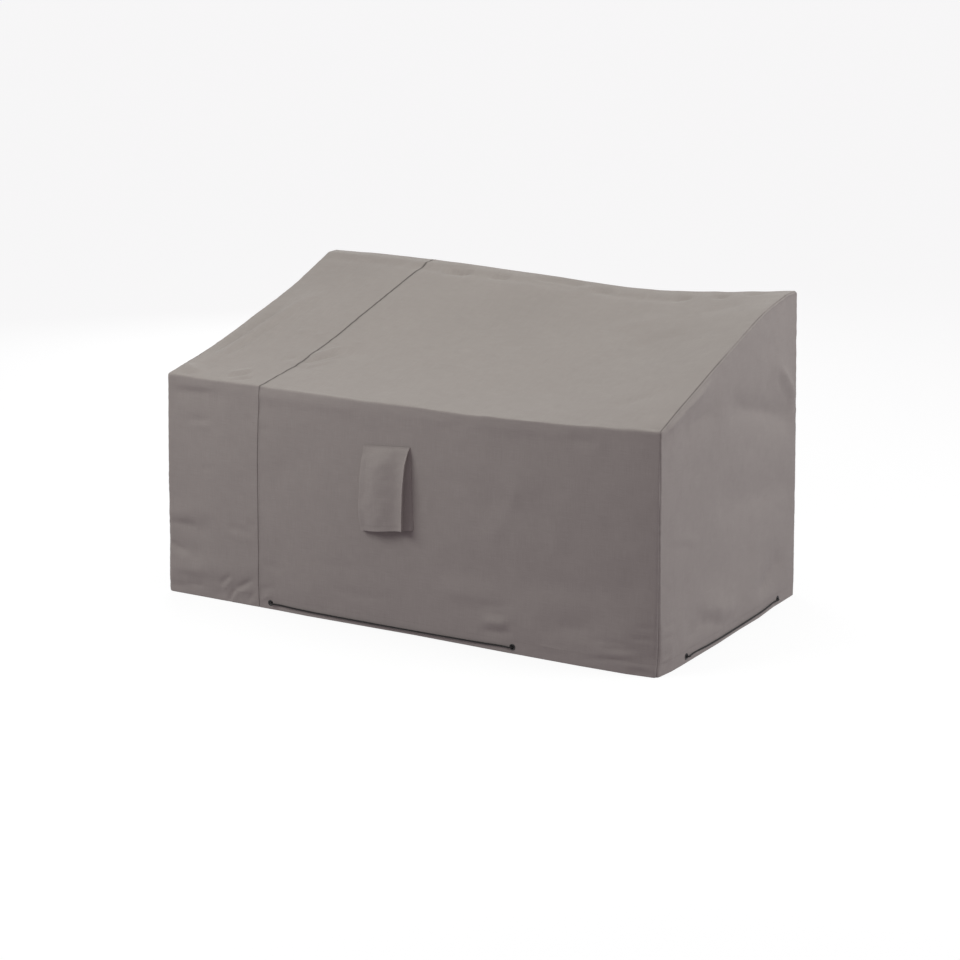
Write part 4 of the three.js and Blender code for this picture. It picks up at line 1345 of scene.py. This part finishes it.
def hood_relief(x, z):
    """How far the hood stands out from its smooth surface, at its edges, its hem and elsewhere."""
    level = HOOD_LEVELS[:, None]
    gussets = len(GUSSET_COLUMNS) - 1
    on_flap = np.pad(np.ones(len(FLAP_COLUMNS)), gussets)[None]
    inside = np.maximum(np.minimum(x - x[:, gussets, None], x[:, -gussets - 1, None] - x), 0)
    edge = FLAP_EDGE * np.exp(-(((inside - FLAP_EDGE_AT) / FLAP_EDGE_HALF) ** 2))
    hem = HOOD_HEM_DIP * np.exp(-(((level - HOOD_BOTTOM - HOOD_HEM) / HOOD_HEM_HALF) ** 2))
    uneven = sum(height * noise(x, z, length, seed) for length, height, seed in HOOD_UNEVEN)
    return (edge - hem) * on_flap + uneven * smooth((HOOD_TOP - level) / HOOD_QUIET)


def make_hood():
    base = hood_surface()
    x, z = base[..., 0], base[..., 2]
    points = settle(base + grid_outward(base) * hood_relief(x, z)[..., None])
    # dust and painted shade along the sewn top
    shade = seam_dust_and_shade(HOOD_TOP - HOOD_LEVELS[:, None] + 0 * x, HOOD_DUST_AND_SHADE, HOOD_DUST_AND_SHADE_WIDTH)
    mesh = sheet_mesh("hood", points, np.stack([x, z], -1), shade, eyelet_cells(x, z, ()))
    return mesh, points


# Stitches: each a short thread that dips into the cloth at both ends

STITCH_PITCH = 4.0
STITCH_LENGTH = 3.0
STITCH_START = 1.0
STITCH_SIDES = 5
STITCH_PROFILE = table("share lift radius", [  # along the stitch
    (0, -0.35, 0.128), (0.22, 0.12, 0.32), (0.78, 0.12, 0.32), (1, -0.35, 0.128),
])


def stitch_row(path, outward):
    """Points of the stitches along a path on the cloth, by stitch, ring and side."""
    lengths = lengths_along(path)
    starts = np.arange(STITCH_START, lengths[-1] - STITCH_LENGTH, STITCH_PITCH)

    def at(values, share):
        return along_path(lengths, values, starts + share * STITCH_LENGTH)

    ahead = unit(at(path, 1) - at(path, 0))
    up = unit(at(outward, 0.5))
    ring, _ = circles_round(ahead, up, STITCH_SIDES)
    return np.stack([(at(path, share) + up * lift)[:, None] + ring * radius
                     for share, lift, radius in zip(*STITCH_PROFILE.values())], 1)


def stitching(name, paths):
    """One object of all the stitches along several paths, each with its outward directions."""
    points = np.concatenate([stitch_row(*path) for path in paths])
    stitches, rings, sides = points.shape[:3]
    shape = tube_faces(rings, sides)
    faces = [[corner + k * rings * sides for corner in face] for k in range(stitches) for face in shape]
    return new_object(name, mesh_of(name, points.reshape(-1, 3) * MM, faces), THREAD_LOOK)


FRONTWARD, BACKWARD = (0, -1, 0), (0, 1, 0)


def face_stitching(name, paths, hints):
    """Stitches along paths on upright or sloping faces that face about the hinted ways."""
    return stitching(name, [(path, path_outward(path, hint)) for path, hint in zip(paths, hints)])


def path_outward(path, hint):
    """Outward directions along a path, near the hinted one."""
    ahead = unit(np.gradient(path, axis=0))
    hint = np.array(hint, float)
    return unit(hint - ahead * (ahead @ hint)[:, None])


def dress(piece, node, stitches=()):
    """Rides and replaces a cloth panel, with its stitches."""
    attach(piece, "root")
    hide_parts(node)
    for row in stitches:
        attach(row, "root")


def build_bands():
    main_mesh, join_path, main_hems = band("main_cloth", 1, False, MAIN_STEP, LONG_EYELETS)
    left_mesh, _, left_hems = band("left_cloth", -1, True, LEFT_STEP, ())
    main = new_object("main_cloth", main_mesh, CLOTH_LOOK)
    left = new_object("left_cloth", left_mesh, CLOTH_LOOK)
    outward = section_outward(join_path[:, None])[:, 0]
    join = stitching("join_stitches", [(join_path, outward)])
    main_rows, left_rows = (face_stitching(f"{name}_hem_stitches", hems, (FRONTWARD, BACKWARD))
                            for name, hems in (("main", main_hems), ("narrow", left_hems)))
    dress(main, "main_band", stitches=[join, main_rows])
    dress(left, "left_band", stitches=[left_rows])


def build_ends():
    for name, end in (("right", 1), ("left", -1)):
        mesh, seam_way, hem_way = end_panel(f"{name}_end_cloth", end)
        panel = new_object(f"{name}_end_cloth", mesh, CLOTH_LOOK)
        seam = stitching(f"{name}_end_seam_stitches", [seam_way])
        hem = stitching(f"{name}_end_hem_stitches", [hem_way])
        dress(panel, f"{name}_side", stitches=[seam, hem])


def build_hood():
    mesh, points = make_hood()
    hood = new_object("hood", mesh, CLOTH_LOOK)
    flap = slice(len(GUSSET_COLUMNS) + 1, -len(GUSSET_COLUMNS) - 2)
    paths = [points[row, flap] for row in (HOOD_TOP_ROW, HOOD_HEM_ROW)]
    rows = face_stitching("hood_stitches", paths, (FRONTWARD, FRONTWARD))
    dress(hood, "vent_hood", stitches=[rows])


# Eyelets: a rolled flange outside, a barrel through the cloth and a washer inside. Each profile row is a
# radius and a distance out from the cloth.

EYELET_PROFILE = [
    (4.4, -2.9), (5.6, -3.3), (7.3, -3.25), (7.6, -2.9), (7.3, -2.5), (5.2, -2.4), (5.0, -2.2), (5.0, 0.1),
    (8.4, 0.2), (8.95, 0.5), (9.0, 0.85), (8.7, 1.25), (7.9, 1.6), (6.8, 1.75), (5.6, 1.6), (4.8, 1.2),
    (4.45, 0.5), (4.4, -0.6),
]
EYELET_SIDES = 48


def eyelet_mesh(name):
    turn = np.linspace(0, 2 * math.pi, EYELET_SIDES, endpoint=False)[:, None]
    radius, out = np.array(EYELET_PROFILE).T[:, None]
    points = np.stack([radius * np.cos(turn), out + 0 * turn, radius * np.sin(turn)], -1) * MM
    index = np.arange(points.size // 3).reshape(points.shape[:2])
    next_side, next_step = (np.roll(index, -1, axis=axis) for axis in (0, 1))
    walls = np.stack([index, next_step, np.roll(next_side, -1, axis=1), next_side], -1)
    return mesh_of(name, points.reshape(-1, 3), walls.reshape(-1, 4).tolist())


def build_eyelet(side, name, along, out, turn):
    x, y = place_on_side(side, along * MM, out * MM)
    eyelet = new_object(f"ring_{side}_{name}", eyelet_mesh(f"ring_{side}_{name}"), PAINT_LOOK)
    eyelet.location = (x, y, EYELET_Z * MM)
    eyelet.rotation_euler = (0, 0, turn)
    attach(eyelet, "root")
    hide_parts(f"eyelet_{side}_{name}")


def build_eyelets():
    long_side = LONG_HEM, ("left", "right"), LONG_EYELETS
    end_side = END_HEM, ("near", "far"), END_EYELETS
    sides = [("front", long_side, math.pi), ("back", long_side, 0), ("right", end_side, -math.pi / 2),
             ("left", end_side, math.pi / 2)]
    for side, (hem, names, places), turn in sides:
        for name, along in zip(names, places):
            build_eyelet(side, name, along, np.interp(along, hem["along"], hem["out"]), turn)


build_bands()
build_ends()
build_hood()
build_eyelets()

# Stage: a plain pale floor that glows a little, and soft lights over the front, the top and the right end

FLOOR_RADIUS = 60
WALL_HEIGHT = 40
WALL_SIDES = 64
FLOOR_COLOR = (0.17, 0.17, 0.169, 1)
FLOOR_GLOW = 0.87
FLOOR_BELOW = 0.0004  # how far it lies under the cover's lowest edge
WALL_GLOW = 0.9


def stage_piece(name, points, faces, color, glow):
    """A piece of the stage. It glows for the camera alone, and throws no light on the cover."""
    n = Nodes(name)
    n.set(Base_Color=color, Roughness=0.9, Specular_IOR_Level=0.1)
    n.set(Emission_Color=(1, 1, 1, 1), Emission_Strength=glow)
    n.material.cycles.emission_sampling = "NONE"
    piece = new_object(name, mesh_of(name, points, faces), n.material)
    piece.visible_diffuse = False
    return piece


def make_stage():
    turn = np.linspace(0, 2 * math.pi, WALL_SIDES, endpoint=False)
    rim = np.stack([np.cos(turn), np.sin(turn), 0 * turn], -1) * FLOOR_RADIUS
    stage_piece("floor", rim - (0, 0, FLOOR_BELOW), [list(range(WALL_SIDES))], FLOOR_COLOR, FLOOR_GLOW)
    k = np.arange(WALL_SIDES)
    walls = np.stack([k, np.roll(k, -1), np.roll(k, -1) + WALL_SIDES, k + WALL_SIDES], -1).tolist()
    points = np.concatenate([rim, rim + (0, 0, WALL_HEIGHT)])
    wall = stage_piece("wall", points, walls, (0, 0, 0, 1), WALL_GLOW)
    wall.visible_glossy = False
    wall.visible_shadow = False


LIGHTS = [  # name, place, target, size, power and colour
    ("front", (-1.6, -2.6, 2.4), (-0.1, -0.3, 0.45), (2.0, 1.6), 53, (0.95, 1.0, 0.98)),
    ("end", (3.6, 0.8, 2.3), (0.8, 0, 0.5), (1.8, 1.6), 66, (0.95, 1.0, 1.0)),
    ("top", (0, 0.2, 3.4), (0, 0, 0), (3.0, 2.0), 30, (0.92, 1.0, 0.88)),
    ("back", (-3.0, 3.2, 1.9), (0, 0.3, 0.4), (1.8, 1.6), 38, (0.95, 1.0, 0.98)),
]
SKY_COLOR = (1.0, 0.9, 1.0, 1)
SKY_STRENGTH = 0.29


def make_panel_light(name, place, target, size, power, color):
    data = bpy.data.lights.new(name, "AREA")
    data.shape = "RECTANGLE"
    data.size, data.size_y = size
    data.energy = power
    data.color = color
    light = bpy.data.objects.new(name, data)
    light.location = place
    light.rotation_euler = (Vector(target) - Vector(place)).to_track_quat("-Z", "Y").to_euler()
    bpy.context.scene.collection.objects.link(light)


def make_light():
    world = bpy.data.worlds.new("studio")
    world.use_nodes = True
    sky = world.node_tree.nodes["Background"]
    sky.inputs["Color"].default_value = SKY_COLOR
    sky.inputs["Strength"].default_value = SKY_STRENGTH
    bpy.context.scene.world = world
    for light in LIGHTS:
        make_panel_light(*light)
    bpy.context.scene.view_settings.view_transform = "Standard"


make_stage()
make_light()
